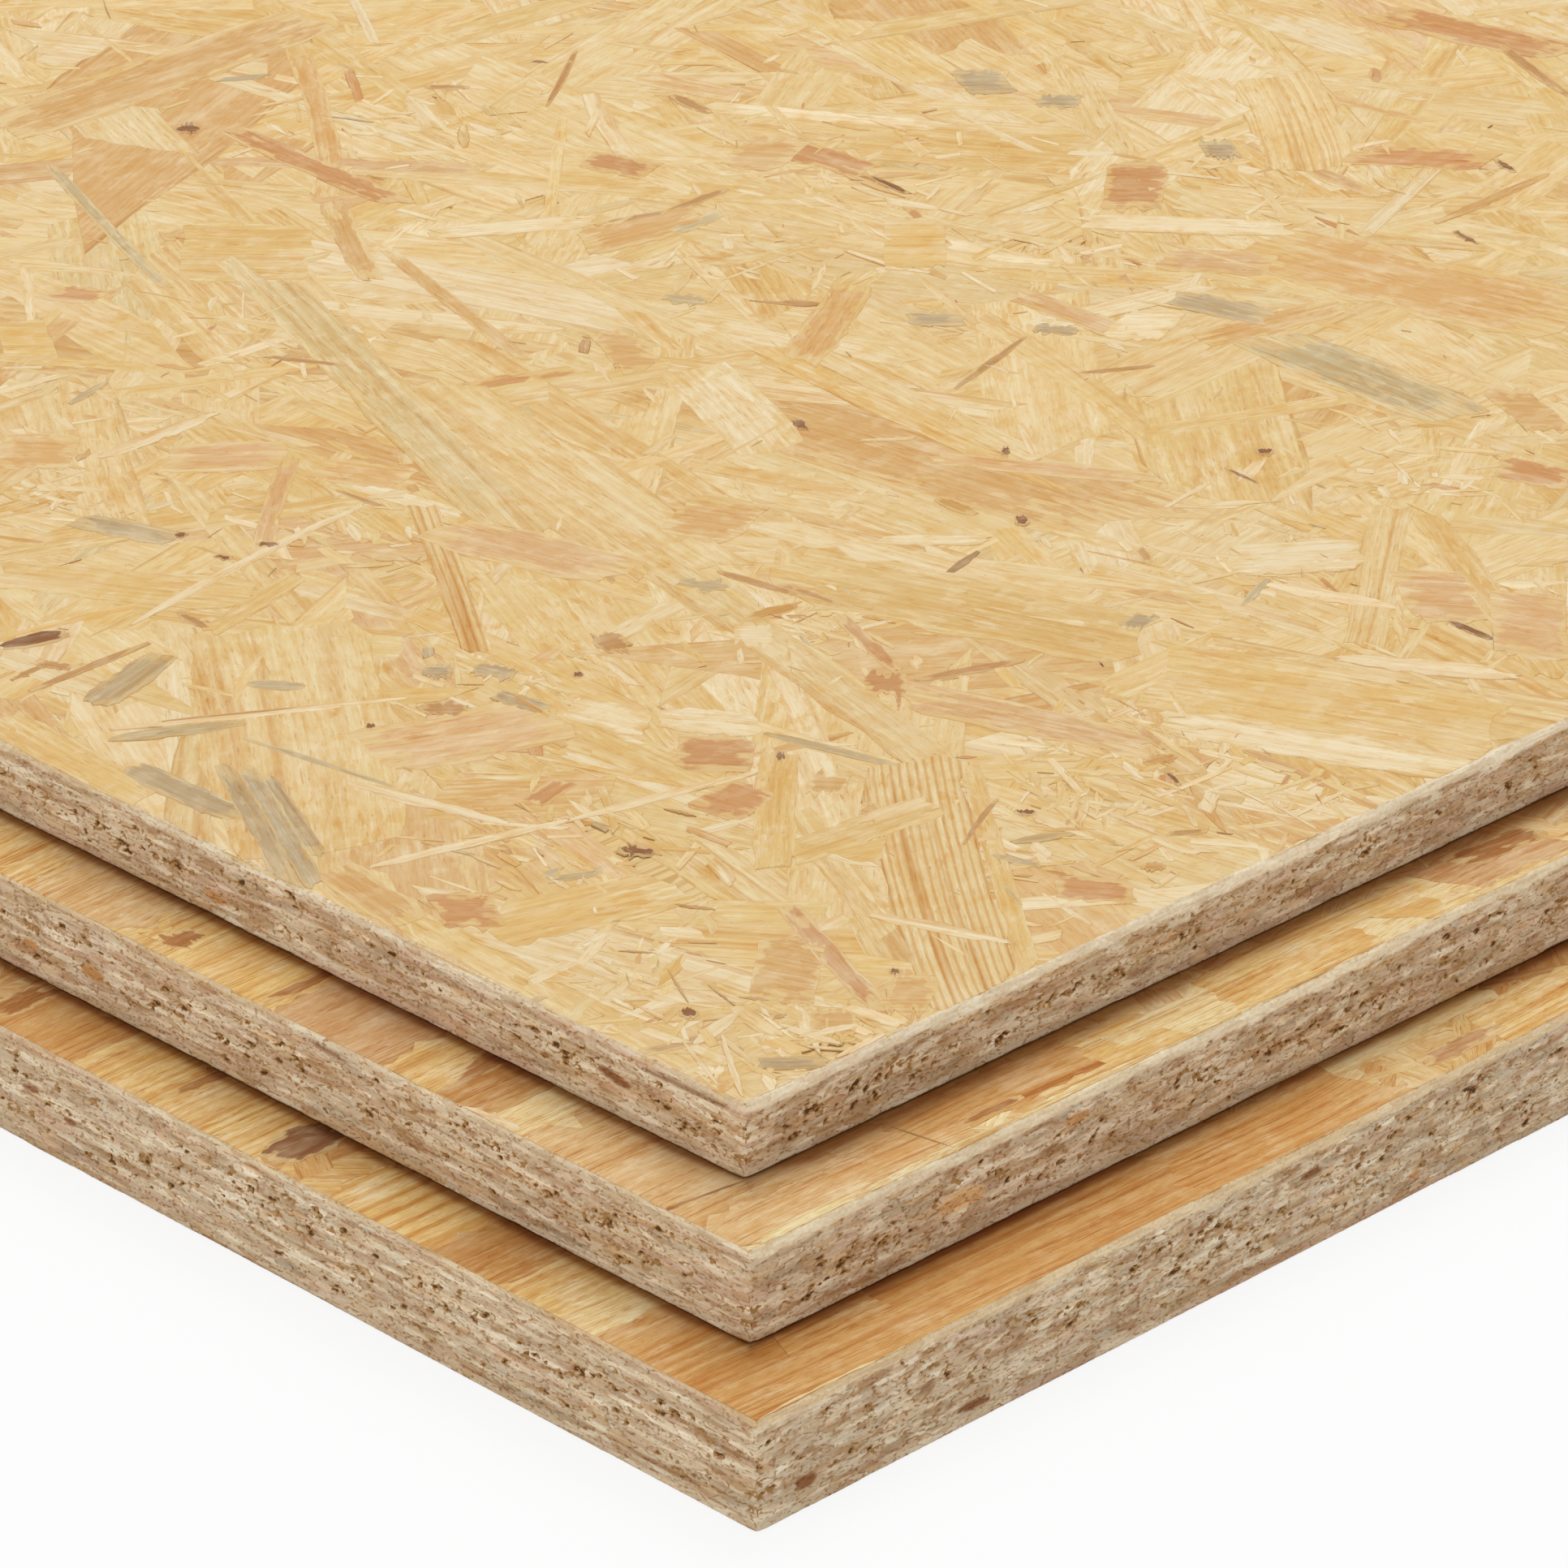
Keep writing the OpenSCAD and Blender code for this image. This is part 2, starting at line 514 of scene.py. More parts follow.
# What each kind is made like: its tone, how pointed its ends are, how strong its growth rings show and how
# far apart they lie, how far under the face's highest strands it lies and how sharp its outline is
STRAND_KINDS = {
    "striped_straw": dict(tone="straw", taper=0.10, stripe=0.30, pitch=3.4, depth=0.060, rim=0.1),
    "ringed": dict(tone="straw", taper=0.05, stripe=0.35, pitch=5.4, depth=0.065, rim=0.0),
    "combed": dict(tone="straw", taper=0.02, stripe=0.75, pitch=1.35, depth=0.058, rim=0.6),
    "striped_dun": dict(tone="dun", taper=0.05, stripe=0.35, pitch=1.7, depth=0.055, rim=0.2),
    "striped_honey": dict(tone="straw", taper=0.05, stripe=0.60, pitch=1.7, depth=0.050, rim=0.4),
    "honey": dict(tone="honey", taper=0.15, stripe=0.22, pitch=2.6, depth=0.055, rim=0.1),
    "tan": dict(tone="tan", taper=0.20, stripe=0.12, pitch=2.6, depth=0.045, rim=0.1),
    "pink_tan": dict(tone="pink_tan", taper=0.20, stripe=0.12, pitch=2.4, depth=0.045, rim=0.1),
    "russet": dict(tone="russet", taper=0.20, stripe=0.12, pitch=2.0, depth=0.040, rim=0.15),
    "grey": dict(tone="grey", taper=0.30, stripe=0.35, pitch=0.7, depth=0.030, rim=0.4),
    "faint_grey": dict(tone="faint_grey", taper=0.20, stripe=0.30, pitch=0.9, depth=0.035, rim=0.2),
    "cream": dict(tone="cream", taper=0.35, stripe=0.05, pitch=2.6, depth=0.035, rim=0.3),
    "grey_splinter": dict(tone="pale_grey", taper=0.60, stripe=0.20, pitch=0.8, depth=0.02, rim=0.5),
    "cream_splinter": dict(tone="cream", taper=0.70, stripe=0.25, pitch=0.9, depth=0.02, rim=1.0),
    "brown_splinter": dict(tone="brown", taper=0.60, stripe=0.15, pitch=0.9, depth=0.02, rim=0.35),
    "amber_splinter": dict(tone="amber", taper=0.60, stripe=0.15, pitch=1.0, depth=0.02, rim=0.35),
    "bark": dict(tone="bark", taper=0.60, stripe=0.15, pitch=0.8, depth=0.01, rim=0.15),
    # Cracks and joints are thin dark slivers that stand for the shade in gaps between strands: painted shade
    "crack": dict(tone="crack", taper=0.90, stripe=0.0, pitch=1.0, depth=0.005, rim=1.0),
    "joint": dict(tone="joint", taper=0.80, stripe=0.0, pitch=1.0, depth=0.005, rim=0.8),
    "brown_flake": dict(tone="brown", taper=0.60, stripe=0.1, pitch=0.8, depth=0.0, rim=0.5),
    "pink_flake": dict(tone="pink_tan", taper=0.50, stripe=0.0, pitch=1.0, depth=0.0, rim=0.5),
    "ledge_deep": dict(tone="ledge_deep", taper=0.05, stripe=0.55, pitch=2.4, depth=0.05, rim=0.6),
    "ledge_rings": dict(tone="ledge_gold", taper=0.05, stripe=0.85, pitch=3.4, depth=0.05, rim=0.6),
    "knot": dict(tone="knot", taper=0.30, stripe=0.40, pitch=1.6, depth=0.03, rim=0.1),
    "arris": dict(tone="ledge_yellow", taper=0.60, stripe=0.0, pitch=2.0, depth=0.02, rim=0.2),
    "ledge_pink": dict(tone="ledge_pink", taper=0.05, stripe=0.25, pitch=1.3, depth=0.05, rim=0.8),
    "ledge_gold": dict(tone="ledge_gold", taper=0.05, stripe=0.65, pitch=1.9, depth=0.06, rim=0.6),
    "ledge_brown": dict(tone="ledge_brown", taper=0.10, stripe=0.35, pitch=1.1, depth=0.04, rim=0.8),
    "ledge_yellow": dict(tone="ledge_yellow", taper=0.05, stripe=0.30, pitch=2.8, depth=0.055, rim=0.8),
    "ledge_amber": dict(tone="ledge_amber", taper=0.05, stripe=0.60, pitch=2.1, depth=0.045, rim=0.8),
}

# Places of the top face with many broken fines: pixel, and how far round it they lie in millimetres
CRUMBS = {
    "near corner": (975, 1285, 9),
    "near right": (1290, 1060, 14),
    "near left": (760, 1200, 11),
    "beside the stripes": (1330, 960, 12),
    "right arris": (1560, 990, 12),
    "middle left": (610, 860, 15),
    "middle": (1010, 770, 12),
    "middle low": (700, 1030, 14),
    "right": (1570, 690, 16),
    "right middle": (1420, 900, 12),
    "left": (420, 650, 14),
    "left margin": (70, 590, 14),
    "far middle": (960, 320, 20),
    "far right": (1320, 330, 18),
    "far left": (330, 430, 18),
    "far": (1090, 210, 18),
    "far left top": (480, 150, 18),
    "far right top": (1560, 210, 18),
    "far right margin": (1800, 560, 16),
}

# How much a face's border is worn
FACE_WEAR = 0.35

# How far the sides of a strand slope out below it
SIDE_FLARE = 0.2

# What is taken off a bow so that it lies about a sliver's middle line
BOW_MEAN = 0.33


# Slivers: thin closed pieces of wood, many to a mesh
class Mesh:
    """Gathers batches of slivers and makes one joined mesh of them."""

    def __init__(self):
        self.values = {key: [] for key in ("place", "grain", "habit", "tone")}
        self.points, self.flat = [], []
        self.tops, self.heights, self.sides, self.undersides = [], [], [], []
        self.count = 0

    def add(self, sheet, local, values, faces):
        """Adds one batch: arrays by sliver and vertex, and the faces of one sliver by vertex."""
        n, size = local.shape[:2]
        first = self.count + np.arange(n)[:, None, None] * size
        top, side, under = faces
        tops = (first + top[None]).reshape(-1, 4)
        flat = local.reshape(-1, 3)
        self.points.append(sheet.world(flat))
        self.flat.append(flat[:, :2])
        for key, value in values.items():
            self.values[key].append(value.reshape(-1, 3))
        self.tops.append(tops)
        self.heights.append(flat[tops - self.count, 2].mean(1))
        self.sides.append((first + side[None]).reshape(-1, 4))
        self.undersides.append((first[:, 0] + under[None]).reshape(n, -1))
        self.count += n * size

    def build(self, name, material, bake_box):
        """The joined mesh, with its highest faces last, so that they win in a map of the face."""
        points = np.concatenate(self.points) * MM
        tops = np.concatenate(self.tops)
        tops = tops[np.argsort(np.concatenate(self.heights), kind="stable")]
        quads = np.concatenate([np.concatenate(self.sides), tops])
        quads = quads[wide_enough(points, quads)]
        loops = np.concatenate([under.ravel() for under in self.undersides] + [quads.ravel()])
        sizes = np.concatenate([np.full(len(f), f.shape[1]) for f in self.undersides + [quads]])
        values = {key: np.concatenate(batches) for key, batches in self.values.items()}
        low, high = np.array(bake_box, float)
        spots = (np.concatenate(self.flat) - low) / (high - low)
        joined(name, points, loops, sizes, values, spots[loops], material, False)


def wide_enough(points, quads, least=1e-11):
    """Which quads have an area: those pressed flat against a panel's border have none."""
    a, b, c, d = (points[quads[:, k]] for k in range(4))
    return np.linalg.norm(np.cross(c - a, d - b), axis=1) > least


def joined(name, points, loops, sizes, values, spots, material, smooth):
    """One mesh as a piece: its faces as loops of vertices and their sizes, values by vertex, and a place in
    the baked map by corner."""
    mesh = bpy.data.meshes.new(name)
    mesh.vertices.add(len(points))
    mesh.vertices.foreach_set("co", points.astype(np.float32).ravel())
    mesh.loops.add(len(loops))
    mesh.loops.foreach_set("vertex_index", loops.astype(np.int32))
    mesh.polygons.add(len(sizes))
    mesh.polygons.foreach_set("loop_start", (np.cumsum(sizes) - sizes).astype(np.int32))
    mesh.update(calc_edges=True)
    mesh.polygons.foreach_set("use_smooth", np.full(len(sizes), smooth))
    for key, value in values.items():
        put(mesh, key, value)
    layer = mesh.uv_layers.new(name="OFBake")
    layer.uv.foreach_set("vector", spots.astype(np.float32).ravel())
    riding(name, mesh, material)


def put(mesh, name, values):
    """Stores one value for each vertex under a name that a material can read: a tone as a colour."""
    kind, key = "FLOAT_VECTOR", "vector"
    if name == "tone":
        kind, key = "FLOAT_COLOR", "color"
        values = np.c_[values, np.ones(len(values))]
    layer = mesh.attributes.new(name, kind, "POINT")
    layer.data.foreach_set(key, values.astype(np.float32).ravel())


def riding(name, mesh, material):
    """A mesh as a piece of the stack."""
    mesh.materials.append(material)
    piece = bpy.data.objects.new(name, mesh)
    bpy.context.collection.objects.link(piece)
    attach(piece, BODY)
    return piece


def ragged(along, size):
    """A small wavy inset of a worn border, by the place along it."""
    slow = np.sin(along * 0.37) + 0.8 * np.sin(along * 0.91 + 1.3)
    quick = 0.6 * np.sin(along * 2.3 + 0.4) + 0.5 * np.sin(along * 5.9 + 2.2)
    return size * (0.5 + 0.18 * (slow + quick))


def lay(mesh, sheet, s, grid, rng, border):
    """Lays a batch of slivers on a face, with a grid of stations along and columns across each, and keeps
    them within a border. s holds one value for each sliver: a, b, height, angle, length, width, taper, blunt,
    bend, skew, rough, lift, roll, thick, stripe, pitch, rim and tone."""
    stations, columns = grid
    n = len(s["a"])
    col = {key: np.asarray(value, float).reshape(n, 1, 1) for key, value in s.items() if key != "tone"}
    t = np.linspace(-1, 1, stations).reshape(1, -1, 1)
    c = np.linspace(-1, 1, columns).reshape(1, 1, -1)
    share = 1 - col["taper"] * np.abs(t) ** col["blunt"]
    left, right = rng.normal(0, 1, (2, n, stations, 1)) * col["rough"]
    side = (1 - c) / 2 * left + (1 + c) / 2 * right
    half = col["width"] / 2
    v = c * half * share * (1 + side)
    step = col["length"] / (stations - 1)
    jag = rng.uniform(-1, 1, (n, stations, columns)) * (np.abs(t) == 1) * np.minimum(half * 0.5, step * 0.4)
    u = t * col["length"] / 2 + jag + col["skew"] * c * half * np.abs(t)
    bow = col["bend"] * col["length"] * (t ** 2 - BOW_MEAN)
    cos, sin = np.cos(col["angle"]), np.sin(col["angle"])
    a = col["a"] + cos * u - sin * (v + bow)
    b = col["b"] + sin * u + cos * (v + bow)
    (a0, b0), (a1, b1) = border
    low_a, high_a = a0 + ragged(b, FACE_WEAR), a1 - ragged(b, FACE_WEAR)
    low_b, high_b = b0 + ragged(a, FACE_WEAR), b1 - ragged(a, FACE_WEAR)
    inside = ((a >= low_a) & (a <= high_a) & (b >= low_b) & (b <= high_b)).astype(float)
    a, b = np.clip(a, low_a, high_a), np.clip(b, low_b, high_b)
    u = cos * (a - col["a"]) + sin * (b - col["b"])
    v = cos * (b - col["b"]) - sin * (a - col["a"]) - bow
    h = col["height"] + col["lift"] * t + col["roll"] * c + 0 * a
    flare = np.minimum(SIDE_FLARE, col["width"] * 0.1)
    out_u, out_v = flare * np.trunc(t), flare * np.trunc(c)
    foot_a = np.clip(a + cos * out_u - sin * out_v, low_a, high_a)
    foot_b = np.clip(b + sin * out_u + cos * out_v, low_b, high_b)
    loop = outline(stations, columns)
    top_points = np.stack([a, b, h], -1).reshape(n, -1, 3)
    under_points = np.stack([foot_a, foot_b, h - col["thick"]], -1).reshape(n, -1, 3)[:, loop]
    # Painted shade on a sliver's sides: none at its upper face, full at its lower outline, none where the
    # border cuts it
    shade = np.concatenate([np.zeros((n, stations * columns)), inside.reshape(n, -1)[:, loop]], 1)
    size = shade.shape[1]
    along, across, u, v = [with_under(np.broadcast_to(k, a.shape).reshape(n, -1), loop) for k in (t, c, u, v)]
    seed = np.repeat(rng.uniform(0, 40, (n, 1)), size, 1)
    values = dict(
        place=np.stack([along, across, shade], -1),
        grain=np.stack([u, v, seed], -1),
        habit=np.stack([np.repeat(col[k][:, :, 0], size, 1) for k in ("stripe", "pitch", "rim")], -1),
        tone=np.repeat(np.asarray(s["tone"])[:, None], size, 1),
    )
    local = np.concatenate([top_points, under_points], 1)
    mesh.add(sheet, local, values, sliver_faces(stations, columns, loop))


def with_under(values, loop):
    """Values of a sliver's upper vertices, and after them those of its lower outline."""
    return np.concatenate([values, values[:, loop]], 1)


def outline(stations, columns):
    """The vertices round a sliver's upper face, anticlockwise."""
    grid = np.arange(stations * columns).reshape(stations, columns)
    return np.concatenate([grid[:, 0], grid[-1, 1:], grid[-2::-1, -1], grid[0, -2:0:-1]])


def sliver_faces(stations, columns, loop):
    """The upper faces, the sides and the underside of one sliver."""
    grid = np.arange(stations * columns).reshape(stations, columns)
    top = np.stack([grid[:-1, :-1], grid[1:, :-1], grid[1:, 1:], grid[:-1, 1:]], -1).reshape(-1, 4)
    under = stations * columns + np.arange(len(loop))
    side = np.stack([loop, under, np.roll(under, -1), np.roll(loop, -1)], -1)
    return top, side, under[::-1]


# Strands on the faces
def scatter(count, low, high, rng):
    """Points spread evenly but unevenly placed over a rectangle."""
    size = np.subtract(high, low)
    across = max(1, int(round(math.sqrt(count * size[0] / size[1]))))
    down = max(1, int(round(count / across)))
    grid = np.stack(np.meshgrid(np.arange(across), np.arange(down), indexing="ij"), -1).reshape(-1, 2)
    spots = (grid + rng.uniform(0, 1, grid.shape)) / (across, down)
    return np.array(low) + rng.permutation(spots) * size


def crumb_spots(sheet, count, rng):
    """Points gathered round the places where the photograph shows many fines."""
    return np.concatenate([
        sheet.seen(x, y) + rng.normal(0, reach, (count, 2)) * 0.75
        for x, y, reach in CRUMBS.values()
    ])


def pick_tones(shares, palette, n, rng, spread):
    """A tone for each sliver: mostly one of the palette's, a little lighter or darker."""
    stack = np.array([palette[name] for name in shares])
    weights = np.array(list(shares.values()), float)
    first, second = rng.choice(len(stack), (2, n), p=weights / weights.sum())
    share = rng.uniform(0, 0.3, (n, 1))
    tone = stack[first] * (1 - share) + stack[second] * share
    return tone * np.exp(rng.normal(0, spread, (n, 1)))


def face_angles(n, main, rng):
    """Directions of strands: most near the main one, some across it and some anyhow."""
    kind = rng.uniform(0, 1, n)
    angle = main + rng.normal(0, math.radians(24), n)
    crossed = main + math.pi / 2 + rng.normal(0, math.radians(25), n)
    free = rng.uniform(0, math.pi, n)
    return np.where(kind < 0.58, angle, np.where(kind < 0.76, crossed, free))


# Random strands by kind: their mean size and its spread, and the lowest and highest that they lie
STRAND_SIZES = {
    "slab": dict(length=90, length_spread=0.20, width=24, width_spread=0.28, high=-0.14, low=-0.27),
    "wide": dict(length=96, length_spread=0.24, width=17, width_spread=0.36, high=-0.16, low=-0.28),
    "narrow": dict(length=40, length_spread=0.42, width=5.4, width_spread=0.42, high=-0.10, low=-0.18),
    "fine": dict(length=6.0, length_spread=0.5, width=1.2, width_spread=0.45, high=-0.05, low=-0.13),
    # Cracks are thin dark slivers, the painted shade of gaps between strands
    "crack": dict(length=2.2, length_spread=0.45, width=0.2, width_spread=0.3, high=0.0, low=-0.02),
}
TONE_SHARES = {
    "slab": dict(ledge_yellow=30, ledge_gold=34, ledge_pink=18, ledge_amber=14, ledge_brown=6),
    "deep_slab": dict(ledge_gold=30, ledge_amber=30, ledge_deep=25, ledge_yellow=12, ledge_brown=8),
    "wide": dict(cream=16, straw=34, yellow=26, honey=22, tan=6, pink_tan=6, dun=2),
    "narrow": dict(cream=20, straw=30, yellow=22, honey=18, tan=8, pink_tan=7, russet=2, dun=3, grey=0.8),
    "far_narrow": dict(
        cream=20, straw=28, yellow=20, honey=18, tan=9, pink_tan=9,
        russet=7, dun=3, grey=3, brown=2, bark=0.5,
    ),
    "fine": dict(cream=36, straw=28, yellow=18, honey=12, tan=6, russet=3, brown=1.5, grey=1.5, bark=0.3),
    "crack": dict(crack=10, bark=0.6, brown=4),
}

# How much steeper large strands lie, so that no two are level with each other
STEEP = 2.5


def random_strands(kind, spots, main, rng, shares):
    """One value of each kind for strands at the given spots."""
    n = len(spots)
    size = STRAND_SIZES[kind]
    length = size["length"] * np.exp(rng.normal(0, size["length_spread"], n))
    width = size["width"] * np.exp(rng.normal(0, size["width_spread"], n))
    pointed = (rng.uniform(0, 1, n) < 0.35) & (kind == "fine") | (kind == "crack")
    striped = rng.uniform(0, 1, n) < 0.3
    steep = 1.0 if kind in ("fine", "crack") else STEEP
    sharp = 0.5 if kind == "fine" else 0.3
    return dict(
        a=spots[:, 0],
        b=spots[:, 1],
        height=rng.uniform(size["low"], size["high"], n),
        angle=face_angles(n, main, rng),
        length=length,
        width=np.minimum(width, length * 0.6),
        taper=np.where(pointed, rng.uniform(0.5, 0.95, n), rng.uniform(0.0, 0.25, n)),
        blunt=np.where(pointed, rng.uniform(1.5, 3, n), rng.uniform(3, 7, n)),
        bend=rng.normal(0, 0.010, n),
        skew=rng.normal(0, 0.8, n),
        rough=np.full(n, 0.12 if kind == "fine" else 0.04),
        lift=rng.normal(0, 0.012 * steep, n),
        roll=rng.normal(0, 0.010 * steep, n),
        thick=rng.uniform(0.15, 0.3, n),
        stripe=np.where(striped, rng.uniform(0.15, 0.5, n), rng.uniform(0, 0.12, n)),
        pitch=rng.uniform(1.2, 5.0, n),
        rim=np.where(rng.uniform(0, 1, n) < sharp, 1.0, rng.uniform(0, 0.3, n)),
        tone=pick_tones(shares, TONES, n, rng, 0.025),
    )


# Shorter strands of the photograph are broken bits with uneven outlines
SMALL_BIT = 8.0


def photo_strands(table, sheet, rng):
    """The strands that the photograph shows on a face, placed by its pixels."""
    rows = [(kind, row) for kind, group in table.items() for row in group.values()]
    n = len(rows)
    ends = np.array([[sheet.seen(x0, y0), sheet.seen(x1, y1)] for _, (x0, y0, x1, y1, _) in rows])
    flank = []
    for _, (x0, y0, x1, y1, thick) in rows:
        x, y = (x0 + x1) / 2, (y0 + y1) / 2
        level = abs(x1 - x0) >= abs(y1 - y0)
        flank.append(sheet.seen(x, y - thick / 2) if level else sheet.seen(x - thick / 2, y))
    run = ends[:, 1] - ends[:, 0]
    length = np.linalg.norm(run, axis=1)
    middle = ends.mean(1)
    off = np.array(flank) - middle
    made = {
        key: np.array([STRAND_KINDS[kind][key] for kind, _ in rows])
        for key in ("tone", "taper", "stripe", "pitch", "depth", "rim")
    }
    pointed = made["taper"] > 0.5
    return dict(
        a=middle[:, 0],
        b=middle[:, 1],
        height=-made["depth"] + rng.normal(0, 0.006, n),
        angle=np.arctan2(run[:, 1], run[:, 0]),
        length=length,
        width=2 * np.abs(run[:, 0] * off[:, 1] - run[:, 1] * off[:, 0]) / length,
        taper=made["taper"],
        blunt=np.where(pointed, 2.2, 5.0),
        bend=rng.normal(0, 0.008, n),
        skew=np.where(pointed, 0, rng.normal(0, 0.2, n)),
        rough=np.where(length < SMALL_BIT, 0.3, np.where(made["rim"] == 1.0, 0.16, 0.08)),
        lift=rng.normal(0, 0.008, n),
        roll=rng.normal(0, 0.006, n),
        thick=np.full(n, 0.25),
        stripe=made["stripe"],
        pitch=made["pitch"],
        rim=made["rim"],
        tone=np.array([TONES[name] for name in made["tone"]]) * np.exp(rng.normal(0, 0.02, (n, 1))),
    )


# Materials
class Graph:
    """A material's nodes, made by short calls that return the socket to read."""

    def __init__(self, name):
        self.material = bpy.data.materials.new(name)
        self.material.use_nodes = True
        self.tree = self.material.node_tree
        self.shader = self.tree.nodes["Principled BSDF"]

    def feed(self, socket, value):
        if isinstance(value, bpy.types.NodeSocket):
            self.tree.links.new(value, socket)
        else:
            socket.default_value = value

    def node(self, kind, inputs, **settings):
        made = self.tree.nodes.new(kind)
        for key, value in settings.items():
            setattr(made, key, value)
        for key, value in inputs.items():
            self.feed(made.inputs[key], value)
        return made

    def parts(self, vector):
        return self.node("ShaderNodeSeparateXYZ", {0: vector}).outputs

    def stored(self, name):
        """The three parts of a value that a mesh stores by vertex."""
        return self.parts(self.node("ShaderNodeAttribute", {}, attribute_name=name).outputs["Vector"])

    def tone(self):
        return self.node("ShaderNodeAttribute", {}, attribute_name="tone").outputs["Color"]

    def place(self):
        return self.parts(self.node("ShaderNodeTexCoord", {}).outputs["Object"])

    def math(self, operation, a, b=0.0):
        return self.node("ShaderNodeMath", {0: a, 1: b}, operation=operation).outputs[0]

    def times(self, a, b):
        return self.math("MULTIPLY", a, b)

    def plus(self, a, b):
        return self.math("ADD", a, b)

    def minus(self, a, b):
        return self.math("SUBTRACT", a, b)

    def weigh(self, a, share, b, other):
        """The sum of two values, each times its share."""
        return self.plus(self.times(a, share), self.times(b, other))

    def vector(self, x, y, z):
        return self.node("ShaderNodeCombineXYZ", {0: x, 1: y, 2: z}).outputs[0]

    def grain(self, place, along, across, offset, detail):
        """Noise with its own pace along and across a place. The offset parts it from other noise there."""
        u, v, seed = place
        vector = self.vector(self.times(u, along), self.times(v, across), self.plus(seed, offset))
        inputs = {"Vector": vector, "Scale": 1.0, "Detail": detail}
        return self.node("ShaderNodeTexNoise", inputs).outputs[0]

    def chips(self, x, y, z):
        """Cells of a random value each: two values that don't hang together."""
        inputs = {"Vector": self.vector(x, y, z), "Scale": 1.0}
        colour = self.node("ShaderNodeTexVoronoi", inputs).outputs["Color"]
        return self.parts(colour)[:2]

    def seams(self, x, y, z):
        """How far from the border between two of those cells."""
        inputs = {"Vector": self.vector(x, y, z), "Scale": 1.0}
        return self.node("ShaderNodeTexVoronoi", inputs, feature="DISTANCE_TO_EDGE").outputs["Distance"]

    def between(self, value, low, high, most=1.0):
        """0 below low and the most above high, smooth between them."""
        inputs = {0: value, 1: low, 2: high, 3: 0.0, 4: most}
        return self.node("ShaderNodeMapRange", inputs, interpolation_type="SMOOTHSTEP").outputs[0]

    def mix(self, factor, a, b, blend="MIX"):
        inputs = {0: factor, 6: a, 7: b}
        return self.node("ShaderNodeMix", inputs, data_type="RGBA", blend_type=blend).outputs[2]

    def tint(self, colour, by, factor=1.0):
        """A colour times another, by a share."""
        return self.mix(factor, colour, (*by, 1.0), "MULTIPLY")

    def graded(self, colour, share, low, high):
        """A colour times one tint where the share is 0 and times another where it is 1."""
        return self.mix(share, self.tint(colour, low), self.tint(colour, high))

    def bump(self, height, distance, strength):
        inputs = {"Height": height, "Distance": distance * MM, "Strength": strength}
        return self.node("ShaderNodeBump", inputs).outputs[0]

    def finish(self, colour, roughness, normal, specular):
        self.feed(self.shader.inputs["Base Color"], colour)
        self.feed(self.shader.inputs["Roughness"], roughness)
        self.feed(self.shader.inputs["Normal"], normal)
        self.feed(self.shader.inputs["Specular IOR Level"], specular)
        return self.material


def rgba(tone):
    return (*[float(x) for x in tone], 1.0)


